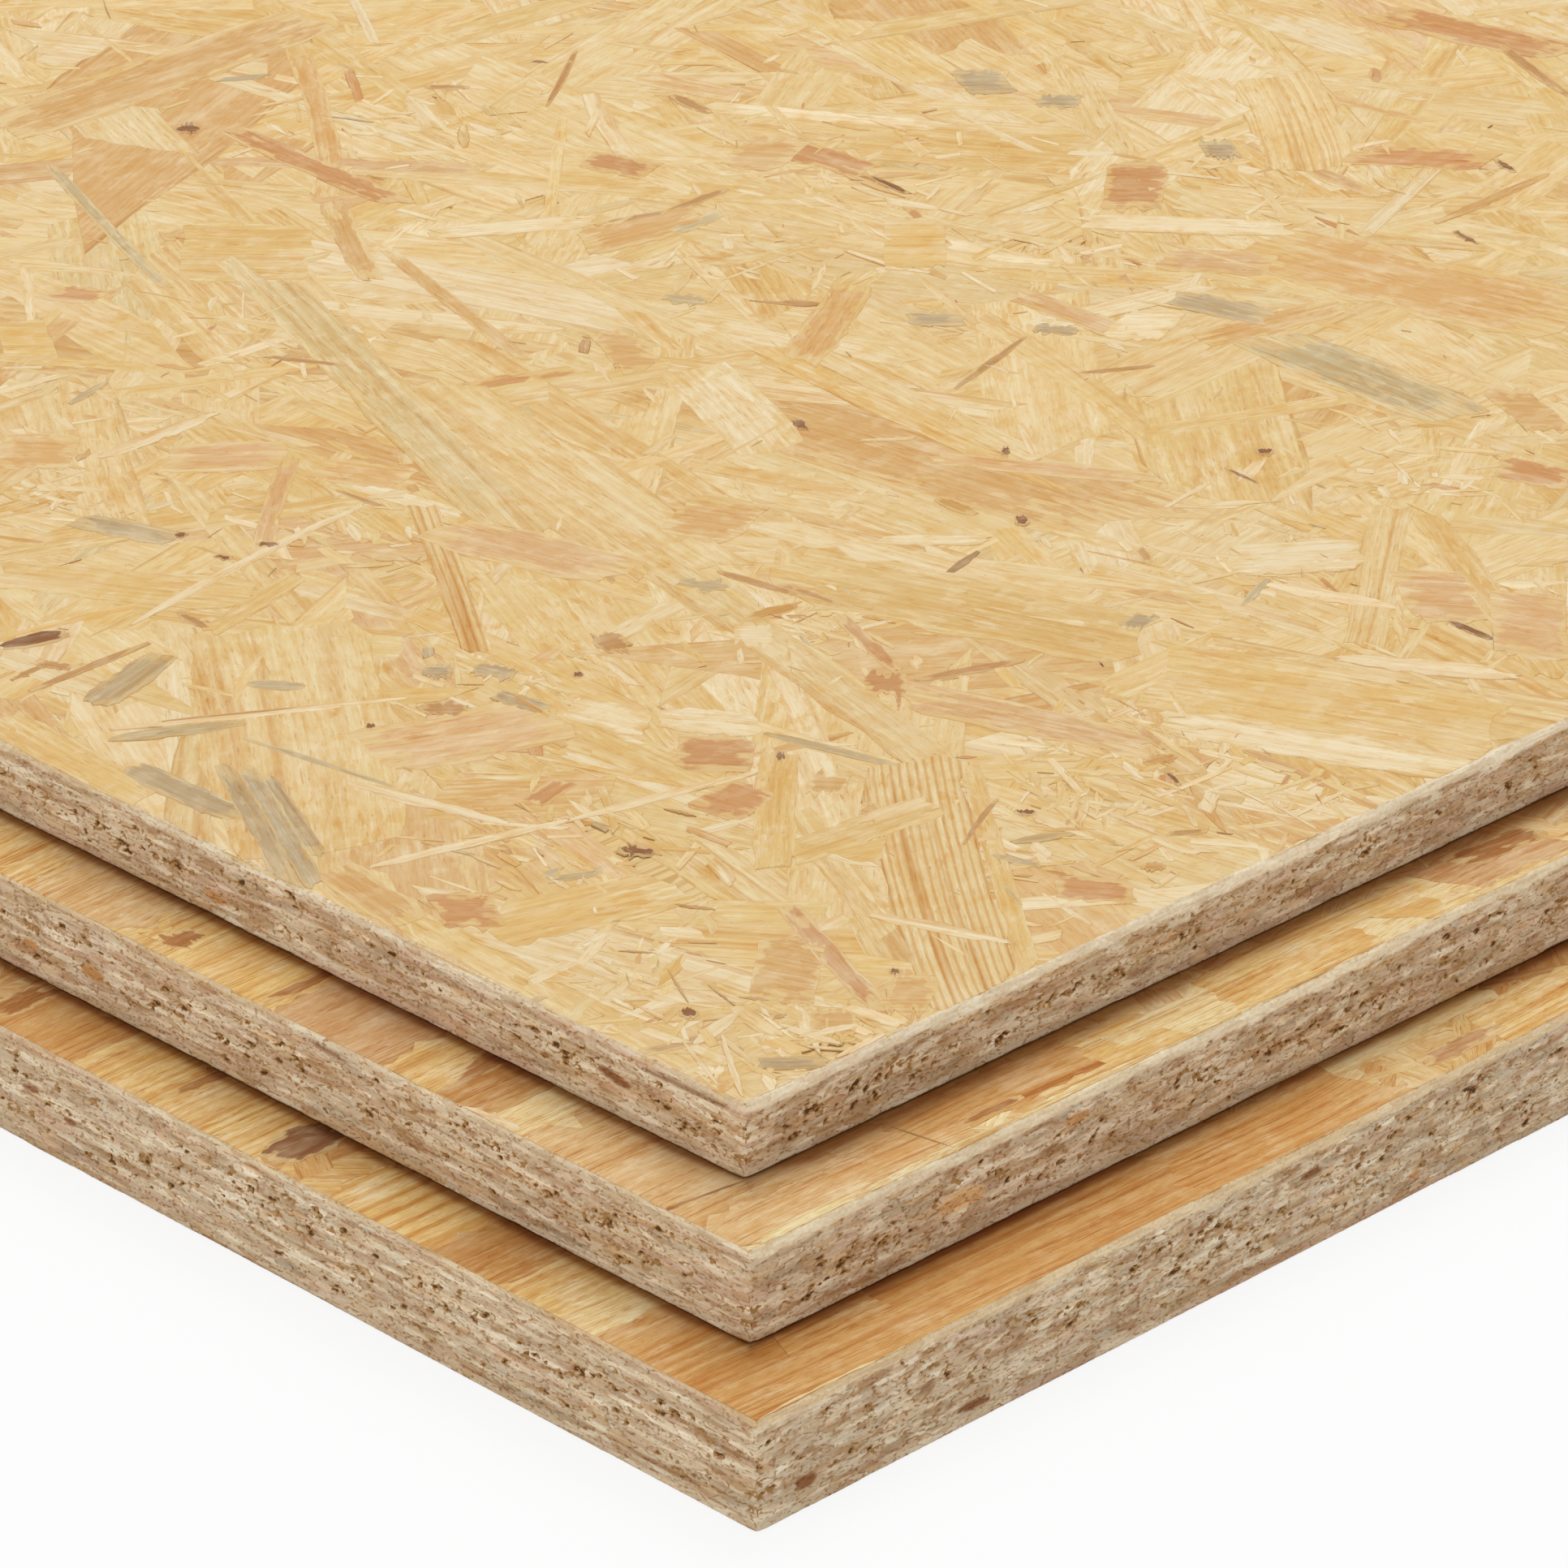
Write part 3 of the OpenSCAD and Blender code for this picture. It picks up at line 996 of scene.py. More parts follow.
def strand_wood(name, contact=None, right_scale=1.0):
    """The flat side of a strand: fibres along it, growth rings, soft stains, and sides browned with painted
    shade that grows towards their foot. Where a panel lies on it, with its near corner at the contact,
    painted shade darkens the wood along that panel's two near sides."""
    g = Graph(name)
    tone = g.tone()
    u, v, seed = g.stored("grain")
    t, c, shade = g.stored("place")
    stripe, pitch, rim = g.stored("habit")
    x, y, z = g.place()
    seed = g.times(seed, 3.7)
    strand, face = (u, v, seed), (x, y, g.times(z, 40.0))
    straw, yellow, cream = [rgba(TONES[key]) for key in ("straw", "yellow", "cream")]
    fibre = g.grain(strand, 0.03, 1.1, 0.0, 4)
    fine = g.grain(strand, 0.35, 3.2, 0.0, 3)
    cloud = g.grain(strand, 0.05, 0.14, 11.0, 3)
    fleck = g.grain(strand, 0.22, 2.6, 23.0, 2)
    mottle = g.grain(face, 190.0, 260.0, 0.0, 5)

    # A stained strand fades into the wood around it with a broken outline, unless its rim is sharp
    common = g.mix(g.between(g.grain(face, 28.0, 28.0, 0.0, 2), 0.38, 0.62), straw, yellow)
    frayed = g.minus(g.weigh(g.grain(strand, 0.14, 0.55, 5.0, 3), 1.3, mottle, 1.1), 1.2)
    far_out = g.math("MAXIMUM", g.math("ABSOLUTE", c), g.math("ABSOLUTE", t))
    faded = g.between(g.plus(far_out, frayed), 0.70, 0.88, g.minus(0.9, g.times(rim, 0.9)))
    wood = g.mix(faded, tone, common)

    # Small clouds that run on from strand to strand
    bright = g.plus(g.between(g.parts(tone)[1], 0.38, 0.58, 0.6), 0.4)
    wood = g.tint(wood, (0.96, 0.85, 0.66), g.between(mottle, 0.53, 0.68, g.times(bright, 0.6)))
    wood = g.mix(g.between(mottle, 0.47, 0.33, g.times(bright, 0.42)), wood, cream)

    # Broken fibres: short bits, paler or browner, close together in places
    bit, other = g.chips(g.times(u, 0.24), g.weigh(v, 1.4, fine, 1.6), seed)
    patchy = g.between(g.grain(face, 60.0, 60.0, 9.0, 3), 0.42, 0.60, bright)
    wood = g.mix(g.between(bit, 0.66, 0.72, g.times(patchy, 0.42)), wood, cream)
    wood = g.tint(wood, (0.94, 0.81, 0.62), g.between(other, 0.74, 0.80, g.times(patchy, 0.65)))
    speck = g.grain(strand, 0.9, 2.0, 53.0, 2)
    wood = g.tint(wood, (0.70, 0.52, 0.33), g.between(speck, 0.67, 0.74, 0.5))

    # Fibres and soft stains
    lines = g.between(g.weigh(fibre, 0.6, fine, 0.4), 0.32, 0.68)
    wood = g.graded(wood, lines, (1.02, 1.06, 1.11), (0.935, 0.835, 0.69))
    wood = g.tint(wood, (0.95, 0.85, 0.67), g.between(cloud, 0.50, 0.72, 0.55))
    wood = g.mix(g.between(cloud, 0.46, 0.30, 0.3), wood, cream)

    # Growth rings: uneven ones, or even ones where they are strongest
    swing = g.times(g.minus(cloud, 0.5), g.minus(3.2, g.times(stripe, 3.6)))
    turn = g.plus(g.math("DIVIDE", v, pitch), swing)
    comb = g.between(stripe, 0.62, 0.72)
    uneven = g.between(g.grain((u, turn, seed), 0.008, 1.7, 41.0, 2), 0.46, 0.64)
    even = g.between(g.math("SINE", g.times(turn, 2 * math.pi)), -0.1, 1.0)
    rings = g.weigh(even, comb, uneven, g.minus(1.0, comb))
    wood = g.tint(wood, (0.84, 0.63, 0.38), g.times(rings, stripe))
    streak = g.grain(strand, 0.012, 0.40, 31.0, 4)
    wood = g.tint(wood, (0.80, 0.56, 0.32), g.between(streak, 0.52, 0.70, stripe))

    # Brown flecks and borders, and painted shade on the sides, browner towards their foot
    brown = g.tint(wood, (0.70, 0.52, 0.34))
    wood = g.mix(g.between(fleck, 0.61, 0.74, 0.55), wood, brown)
    worn = g.between(fibre, 0.46, 0.58, g.times(rim, 0.5))
    wood = g.mix(g.between(g.math("ABSOLUTE", c), 0.88, 1.0, worn), wood, brown)
    wood = g.mix(g.between(shade, 0.0, 0.9, g.plus(g.times(rim, 0.65), 0.05)), wood, brown)

    if contact is not None:
        # On a ledge: its coarser grain, and painted shade along the panel that lies on it
        wood = ledge_grain(g, wood, strand, cloud)
        wood = paint_contact_shade(g, wood, (x, y), contact, right_scale, mottle)
    rough = g.plus(g.times(fine, 0.2), 0.6)
    return g.finish(wood, rough, g.bump(g.weigh(fibre, 0.7, fine, 0.3), 0.05, 0.6), 0.2)


def ledge_grain(g, wood, strand, cloud):
    """The coarser grain of a ledge's strands, with thin broken lines along it."""
    blotch = g.grain(strand, 0.3, 0.45, 61.0, 6)
    pores = g.grain(strand, 0.5, 4.5, 67.0, 4)
    coarse = g.between(g.weigh(blotch, 0.4, pores, 0.6), 0.41, 0.59)
    wood = g.graded(wood, coarse, (1.04, 1.09, 1.17), (0.95, 0.90, 0.81))
    ring = g.grain(strand, 0.012, 0.7, 71.0, 2)
    broken = g.between(g.weigh(pores, 0.5, cloud, 0.5), 0.42, 0.52, 0.7)
    line = g.between(g.math("ABSOLUTE", g.minus(ring, 0.5)), 0.03, 0.005, broken)
    return g.tint(wood, (0.74, 0.52, 0.32), line)


def paint_contact_shade(g, wood, place, corner, right_scale, mottle):
    """Painted shade on a ledge: a dark line along the near sides of the panel above it, which fades at their
    corner.
    """
    left, right = [g.minus(k * MM, axis) for k, axis in zip(corner, place)]
    away = g.math("MAXIMUM", left, g.times(right, right_scale))
    away = g.weigh(away, 1 / MM, g.minus(mottle, 0.5), 1.2)
    away = g.plus(away, g.between(g.math("MINIMUM", left, right), -12 * MM, 0.0, 1.2))
    # Painted shade: a dark line at the contact and a softer shade beside it
    dark = g.plus(g.between(away, *PAINTED_CONTACT_LINE, 0.8), g.between(away, *PAINTED_CONTACT_SHADE, 0.2))
    return g.tint(wood, PAINTED_CONTACT_TINT, dark)


def sawn_wood():
    """A sawn edge: cut flakes, fibres and grit over the tones of the surface, and pits with broken outlines,
    with painted shade in their deepest parts. Where the stored pit is below 0, the wood is a clean broken
    arris."""
    g = Graph("sawn_wood")
    tone = g.tone()
    u, v, pit = g.stored("grain")
    edge = (u, v, 0.0)
    fibre = g.grain(edge, 0.14, 2.0, 3.0, 4)
    grit = g.grain(edge, 1.3, 2.2, 7.0, 4)
    speck = g.grain(edge, 2.3, 3.4, 13.0, 2)
    sway = g.grain(edge, 0.12, 0.3, 19.0, 2)
    cut_u, cut_v = g.times(u, 0.26), g.weigh(v, 1.15, sway, 3.5)
    flake, second = g.chips(cut_u, cut_v, 0.0)
    seam = g.seams(cut_u, cut_v, 0.0)
    clean = g.between(pit, -0.1, -0.6)
    rough = g.minus(1.0, g.times(clean, 0.8))
    flaked = g.graded(tone, flake, (1.11, 1.13, 1.15), (0.88, 0.81, 0.73))
    wood = g.mix(g.minus(1.0, g.times(clean, 0.4)), tone, flaked)
    wood = g.tint(wood, (0.93, 0.78, 0.62), g.between(second, 0.86, 0.90, g.times(rough, 0.6)))
    lines = g.between(g.weigh(fibre, 0.6, grit, 0.4), 0.34, 0.66)
    wood = g.graded(wood, lines, (1.06, 1.08, 1.10), (0.89, 0.81, 0.72))
    parted = g.between(grit, 0.44, 0.60, g.times(rough, 0.85))
    wood = g.tint(wood, (0.52, 0.36, 0.22), g.between(seam, 0.10, 0.02, parted))
    wood = g.tint(wood, (0.60, 0.44, 0.27), g.between(speck, 0.64, 0.74, g.times(rough, 0.55)))
    # Pits, notches and crumbled bits in the pit tones, with painted shade where they are deepest
    deep = g.plus(pit, g.times(g.minus(grit, 0.5), 1.5))
    hole = g.mix(g.between(deep, 0.72, 0.98), rgba(PIT_GOLD), rgba(PIT_PAINTED_SHADE))
    wood = g.mix(g.between(deep, 0.42, 0.56), wood, hole)
    height = g.times(g.weigh(fibre, 0.4, grit, -0.6), rough)
    return g.finish(wood, g.plus(g.times(grit, 0.1), 0.72), g.bump(height, 0.12, 0.7), 0.15)


def board_wood():
    """The board under the strands, which shows between them and below: darker strands, pressed flat."""
    g = Graph("board_wood")
    x, y, z = [g.times(axis, 1 / MM) for axis in g.place()]
    chip = g.chips(g.times(x, 0.02), g.times(y, 0.07), g.times(z, 0.3))[0]
    fibre = g.grain((x, y, g.times(chip, 30.0)), 0.05, 1.2, 0.0, 3)
    wood = g.mix(chip, rgba(TONES["honey"]), rgba(TONES["straw"]))
    wood = g.tint(wood, (0.80, 0.66, 0.48), g.between(fibre, 0.42, 0.66))
    return g.finish(wood, g.plus(g.times(fibre, 0.1), 0.65), g.bump(fibre, 0.1, 0.6), 0.25)


STRAND_WOOD = strand_wood("strand_wood")
LEDGE_WOOD = {
    lower: strand_wood(lower + "_ledge_wood", [float(k) for k in BOX[upper][0][:2]], CONTACT_RIGHT[lower])
    for lower, upper in (("middle_panel", "top_panel"), ("bottom_panel", "middle_panel"))
}
SAWN_WOOD = sawn_wood()
BOARD_WOOD = board_wood()

# The thin gap that shows where an upper panel lies on the one below, on its two near sides
GAP_LEAST = 0.02
GAP_MOST = 0.3
GAP_FADE = 2.0
GAP_DEPTH = 5.0


# Pieces
def board(name):
    """The plain body of a panel, a little inside its faces and edges, and stepped in above a gap."""
    low, high = BOX[name]
    levels = [(EDGE_RECESS, low[2]), (EDGE_RECESS, high[2] - FACE_RECESS)]
    if name != PANELS[0]:
        step = low[2] + GAP_MOST
        levels = [(GAP_DEPTH, low[2]), (GAP_DEPTH, step), (EDGE_RECESS, step), levels[1]]
    points = []
    for inset, z in levels:
        (x0, y0), (x1, y1) = low[:2] + inset, high[:2] - EDGE_RECESS
        points += [(x0, y0, z), (x1, y0, z), (x1, y1, z), (x0, y1, z)]
    faces = [(3, 2, 1, 0)]
    for first in range(0, len(points) - 4, 4):
        for i, j in ((0, 1), (1, 2), (2, 3), (3, 0)):
            faces.append((first + i, first + j, first + 4 + j, first + 4 + i))
    faces.append(tuple(range(len(points) - 4, len(points))))
    mesh = bpy.data.meshes.new(name + "_board")
    mesh.from_pydata([tuple(np.array(p) * MM) for p in points], [], faces)
    piece = riding(name + "_board", mesh, BOARD_WOOD)
    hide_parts(name)


# How most strands of a panel's upper face lie
FACE_MAIN = {"top_panel": math.pi / 2, "middle_panel": 0.0, "bottom_panel": 0.0}

# How far from a panel's sides its strands end: left and right as the photograph shows it, and the far two
INSET_NEAR = {
    "top_panel": np.array([0.2, 0.6]),
    "middle_panel": np.array([0.2, 0.6]),
    "bottom_panel": np.array([0.2, 0.3]),
}
INSET_FAR = 0.35

# Stations along a sliver and columns across it: in view, far off, and where the photograph places it
GRID = {"slab": (9, 4), "wide": (9, 4), "narrow": (6, 3), "fine": (4, 2), "crack": (4, 2)}
FAR_GRID = {"wide": (6, 3), "narrow": (4, 2), "fine": (4, 2)}
PHOTO_GRID = (13, 5)
LEDGE_PHOTO_GRID = (15, 6)

# The corner of the top face that the photograph shows, measured from its near corner, and how far past that
# its baked map goes
NEAR_REACH = 425.0
NEAR_MAP_MARGIN = 60

# Strands there by kind: how many, how far past the panel's sides their middles lie and how far past that
# reach, and how many more lie round each crumbled place
NEAR_SPREAD = {"wide": (640, 10, 30), "narrow": (230, 5, 0), "fine": (420, 2, -15), "crack": (120, 0, -15)}
CRUMB_COUNT = {"fine": 55, "crack": 5}

# Strands behind it by kind: how many to a whole face, how far past the panel's sides their middles lie, how
# far into that reach, and their tones
FAR_SPREAD = {
    "wide": (1900, 10, 30, "wide"),
    "narrow": (1900, 0, 10, "far_narrow"),
    "fine": (2600, 0, 10, "fine"),
}


def top_face():
    """The strands of the top face: dense where the photograph looks, wider apart behind."""
    low, high = (corner[:2] for corner in BOX["top_panel"])
    near = low + NEAR_REACH
    near_map = (low, near + NEAR_MAP_MARGIN)
    border = (low + INSET_NEAR["top_panel"], high - INSET_FAR)
    sheet = face_sheet("top_panel")
    rng = np.random.default_rng(SEED)

    def spread(mesh, kind, spots, grid, shares):
        strands = random_strands(kind, spots, FACE_MAIN["top_panel"], rng, TONE_SHARES[shares])
        lay(mesh, sheet, strands, grid[kind], rng, border)

    def near_spots(kind):
        count, margin, past = NEAR_SPREAD[kind]
        return scatter(count, low - margin, near + past, rng)

    strands = Mesh()
    for kind in ("wide", "narrow"):
        spread(strands, kind, near_spots(kind), GRID, kind)
    lay(strands, sheet, photo_strands(PHOTO_STRANDS, sheet, rng), PHOTO_GRID, rng, border)
    strands.build("top_panel_strands", STRAND_WOOD, near_map)
    fines = Mesh()
    for kind, count in CRUMB_COUNT.items():
        spots = np.concatenate([near_spots(kind), crumb_spots(sheet, count, rng)])
        spread(fines, kind, spots, GRID, kind)
    fines.build("top_panel_fines", STRAND_WOOD, near_map)
    far_strands, far_fines = Mesh(), Mesh()
    for kind, (count, margin, overlap, shares) in FAR_SPREAD.items():
        spots = scatter(count, low - margin, high + margin, rng)
        mesh = far_fines if kind == "fine" else far_strands
        spread(mesh, kind, spots[(spots > near - overlap).any(1)], FAR_GRID, shares)
    far_strands.build("top_panel_far_strands", STRAND_WOOD, border)
    far_fines.build("top_panel_far_fines", STRAND_WOOD, border)


# How far in from a panel's sides the strands of its ledge lie, how many to a millimetre along it, and how far
# past its ends slabs may have their middle
LEDGE_DEPTH = 24.0
LEDGE_COUNT = {"slab": 0.30, "narrow": 0.16, "fine": 0.05}
SLAB_MARGIN = 20


def ledge(name, seed):
    """The strands of a lower panel's face along the two sides where it shows past the panel above."""
    low, high = (corner[:2] for corner in BOX[name])
    border = (low + INSET_NEAR[name], high - INSET_FAR)
    start, (x1, y1) = border
    x0, y0 = start
    sheet = face_sheet(name)
    rng = np.random.default_rng(seed)
    slab_shares = TONE_SHARES["deep_slab" if name == "bottom_panel" else "slab"]
    shares = {"slab": slab_shares, "narrow": slab_shares, "fine": TONE_SHARES["fine"]}
    mesh = Mesh()
    for end in ((x0 + LEDGE_DEPTH, y1), (x1, y0 + LEDGE_DEPTH)):
        reach = max(np.subtract(end, start))
        for kind, count in LEDGE_COUNT.items():
            margin = SLAB_MARGIN if kind == "slab" else 0
            spots = scatter(int(reach * count), start - margin, np.add(end, margin), rng)
            strands = random_strands(kind, spots, FACE_MAIN[name], rng, shares[kind])
            lay(mesh, sheet, strands, GRID[kind], rng, (start, end))
    lay(mesh, sheet, photo_strands(LEDGE_STRANDS[name], sheet, rng), LEDGE_PHOTO_GRID, rng, border)
    mesh.build(name + "_ledge", LEDGE_WOOD[name], (low, high))


# Sawn edges: the tones of their flakes, of a panel's skins, of small chips and of pale flakes cut lengthwise
EDGE_SHARES = {
    "top_panel": dict(beige=30, pale=12, tan=26, pink=24, mouse=5, brown=6),
    "middle_panel": dict(beige=34, pale=20, tan=16, pink=20, mouse=8, brown=5),
    "bottom_panel": dict(beige=32, pale=26, tan=10, pink=14, mouse=18, brown=4),
}
SKIN_SHARES = dict(beige=26, pale=30, tan=14, pink=26)
CHIP_SHARES = dict(pale=46, beige=20, tan=14, brown=16, pink=14)
LENS_SHARES = dict(white=40, pale=50, beige=14, pink=10, tan=4)

# How far from the near corner the photograph shows the edges, the steps between columns there and elsewhere,
# the roundness of the upright corners, how far in the plain wall lies and how thick a panel's skin is
NEAR_LEFT = 198.0
NEAR_RIGHT = 208.0
FINE_STEP = 0.4
FAR_STEP = 5.0
CORNER_ROUND = 0.8
RING_DEPTH = 2.8
SKIN = 1.5

# Rows of the sawn surface near its arrises: how far above the lower one and below the upper one
LOW_ROWS = [0.02, 0.15, 0.42]
TOP_ROWS = np.array([0.42, 0.25, 0.1])

# How far below the upper face and above the lower one the plain wall ends, and how rough the sawn surface is
WALL_UNDER_TOP = 0.45
WALL_OVER_BOTTOM = 0.3
GRIT = 0.018

# How much of a strip of the baked map stays free below and above the sawn surface
STRIP_MARGIN = 0.03

# Flakes by stretch: the height of a row, the mean length of a flake and how much flakes lean
FLAKES = {
    "far left": (1.3, 26.0, 0.01),
    "far right": (1.3, 26.0, 0.01),
    "left": (0.66, 7.0, 0.035),
    "right": (0.82, 4.6, 0.09),
}

# Pale flakes laid over them: how many to a square millimetre, their mean length and how much they lean
LENSES = {
    "left": (0.04, 13.0, 0.05),
    "right": (0.045, 6.5, 0.13),
    "far left": (0.008, 30.0, 0.01),
    "far right": (0.008, 30.0, 0.01),
}

# Chips under and over the pale flakes, and pits, to a square millimetre
CHIPS_UNDER = 0.07
CHIPS_OVER = 0.02
PITS = 0.18

# The upper arrises are broken off at a slope: how far down on each side, how far in for each millimetre down,
# and how pale the broken wood is, with a painted highlight where the arris turns up to the light
ARRIS_LEFT = {"top_panel": 1.3, "middle_panel": 0.9, "bottom_panel": 1.0}
ARRIS_RIGHT = 2.0
ARRIS_SLOPE = {"top_panel": 0.42, "middle_panel": 0.42, "bottom_panel": 0.22}
ARRIS_PALE_AND_HIGHLIGHT = {
    "top_panel": srgb(252, 239, 210),
    "middle_panel": srgb(248, 233, 200),
    "bottom_panel": srgb(238, 215, 174),
}

# The broken place on each panel's near corner: its middle's height, its reach up and down, and its depth
CRUMBLE = {
    "top_panel": (3.2, 2.2, 0.25),
    "middle_panel": (4.0, 3.6, 0.4),
    "bottom_panel": (5.0, 3.6, 0.8),
}


def flake_rows(start, end, thickness, row_height, mean_length, slant, rng):
    """The cut ends of the strands on a stretch of sawn edge, row on row: lenses with gaps between them."""
    rows = max(4, int(round(thickness / row_height)))
    tall = rng.uniform(0.6, 1.4, rows)
    tall[[0, -1]] = SKIN / row_height
    cuts = np.concatenate([[0], np.cumsum(tall)]) / tall.sum() * thickness
    phase = rng.uniform(0, 2 * math.pi, 2)
    made = []
    for row in range(rows):
        skin = row in (0, rows - 1)
        middle, height = (cuts[row] + cuts[row + 1]) / 2, cuts[row + 1] - cuts[row]
        at = start - rng.uniform(0, mean_length)
        swing = (0.1 if skin else 0.6) * height
        while at < end:
            length = mean_length * math.exp(rng.normal(0, 0.65)) * (3.5 if skin else 1.0)
            at += length / 2
            wave = 0.7 * math.sin(at / 17 + row * 0.3 + phase[0])
            wave += 0.4 * math.sin(at / 6.1 + row * 0.8 + phase[1])
            lean = rng.normal(0, 0.01 if skin else slant)
            gap = 0.0 if skin else rng.uniform(0.0, 0.5)
            made.append((at, middle + swing * wave, length, height * rng.uniform(0.95, 1.7), lean, skin))
            at += length / 2 + gap
    a, b, length, width, angle, skin = np.array(made).T
    return dict(a=a, b=b, length=length, width=width, angle=angle, skin=skin > 0.5)


def edge_flakes(f, shares, rng):
    """The flakes of a stretch of sawn edge, with their tone and height."""
    n = len(f["a"])
    skin = f["skin"]
    core = pick_tones(shares, SAWN_TONES, n, rng, 0.09)
    face = pick_tones(SKIN_SHARES, SAWN_TONES, n, rng, 0.04)
    return dict(
        f,
        tone=np.where(skin[:, None], face, core),
        height=-rng.uniform(0.0, 0.10, n),
        tilt=rng.normal(0, 0.03, n),
        pit=np.zeros(n),
        taper=np.where(skin, 0.3, rng.uniform(0.6, 1.0, n)),
        blunt=rng.uniform(1.8, 4.0, n),
    )


def edge_chips(start, end, thickness, density, rng):
    """Small chips of wood, spread over a stretch of sawn edge."""
    n = int((end - start) * thickness * density)
    half = np.exp(rng.normal(math.log(0.8), 0.5, n))
    return dict(
        a=rng.uniform(start, end, n),
        b=thickness / 2 + (thickness / 2 - SKIN) * rng.uniform(-1, 1, n),
        length=2 * half,
        width=np.minimum(half * rng.uniform(0.4, 0.9, n), 1.2),
        angle=rng.normal(0, 0.3, n),
        tone=pick_tones(CHIP_SHARES, SAWN_TONES, n, rng, 0.05),
        height=rng.uniform(-0.06, 0.02, n),
        tilt=np.zeros(n),
        pit=np.zeros(n),
        taper=rng.uniform(0.6, 1.0, n),
        blunt=rng.uniform(1.5, 2.5, n),
    )


def edge_pits(start, end, thickness, density, rng):
    """Pits where flakes broke out, in groups: each is a few holes side by side."""
    groups = max(1, int((end - start) * thickness * density / 3))
    middle_a = rng.uniform(start, end, groups)
    middle_b = thickness / 2 + (thickness / 2 - 2.2 * SKIN) * rng.uniform(-1, 1, groups)
    spread = rng.uniform(0.4, 3.0, groups)
    owner = np.repeat(np.arange(groups), rng.integers(1, 6, groups))
    n = len(owner)
    half = np.exp(rng.normal(math.log(0.52), 0.42, n))
    return dict(
        a=middle_a[owner] + rng.normal(0, 1, n) * spread[owner],
        b=np.clip(middle_b[owner] + rng.normal(0, 0.35, n) * spread[owner], 1.2, thickness - 1.2),
        length=2 * half,
        width=np.clip(half * rng.uniform(0.6, 1.2, n), 0.40, 1.1),
        angle=rng.normal(0, 0.3, n),
        tone=np.tile(PIT_GOLD, (n, 1)),
        height=-rng.uniform(0.2, 0.5, n),
        tilt=np.zeros(n),
        pit=rng.uniform(0.6, 1.05, n),
        taper=rng.uniform(0.7, 1.0, n),
        blunt=rng.uniform(1.5, 2.5, n),
    )


def edge_lenses(start, end, thickness, density, mean_length, slant, rng):
    """Pale flakes cut lengthwise, each over a thin dark seam a little below it, its painted shadow: the seam
    and its flake by turns.
    """
    n = int((end - start) * thickness * density)
    flake = dict(
        a=rng.uniform(start, end, n),
        b=thickness / 2 + (thickness / 2 - 1.2 * SKIN) * rng.uniform(-1, 1, n),
        length=mean_length * np.exp(rng.normal(0, 0.5, n)),
        width=np.exp(rng.normal(0, 0.3, n)),
        angle=rng.normal(0, slant, n),
        bend=rng.normal(0, 0.03, n),
        tone=pick_tones(LENS_SHARES, SAWN_TONES, n, rng, 0.03),
        height=rng.uniform(-0.03, 0.04, n),
        tilt=rng.normal(0, 0.02, n),
        pit=np.zeros(n),
        taper=rng.uniform(0.7, 1.0, n),
        blunt=rng.uniform(1.6, 3.0, n),
    )
    # The seam is the flake's painted shadow: the same shape a little lower, sunk and coloured as a shallow
    # pit
    seam = dict(
        flake,
        b=flake["b"] - rng.uniform(0.2, 0.45, n),
        height=np.full(n, -0.18),
        pit=rng.uniform(0.3, 0.6, n),
    )
    return {key: np.stack([seam[key], flake[key]], 1).reshape(2 * n, *flake[key].shape[1:]) for key in flake}


def photo_flakes(name, side, sheet, rng):
    """The flakes that the photograph shows on one side of a panel, along the way round it."""
    f = photo_strands(EDGE_FLAKES[name, side], sheet, rng)
    turn = -1 if side == "left" else 1
    n = len(f["a"])
    return dict(
        f,
        a=turn * f["a"],
        angle=turn * f["angle"],
        height=np.full(n, -0.05),
        tilt=np.zeros(n),
        pit=np.zeros(n),
        blunt=np.full(n, 2.5),
    )


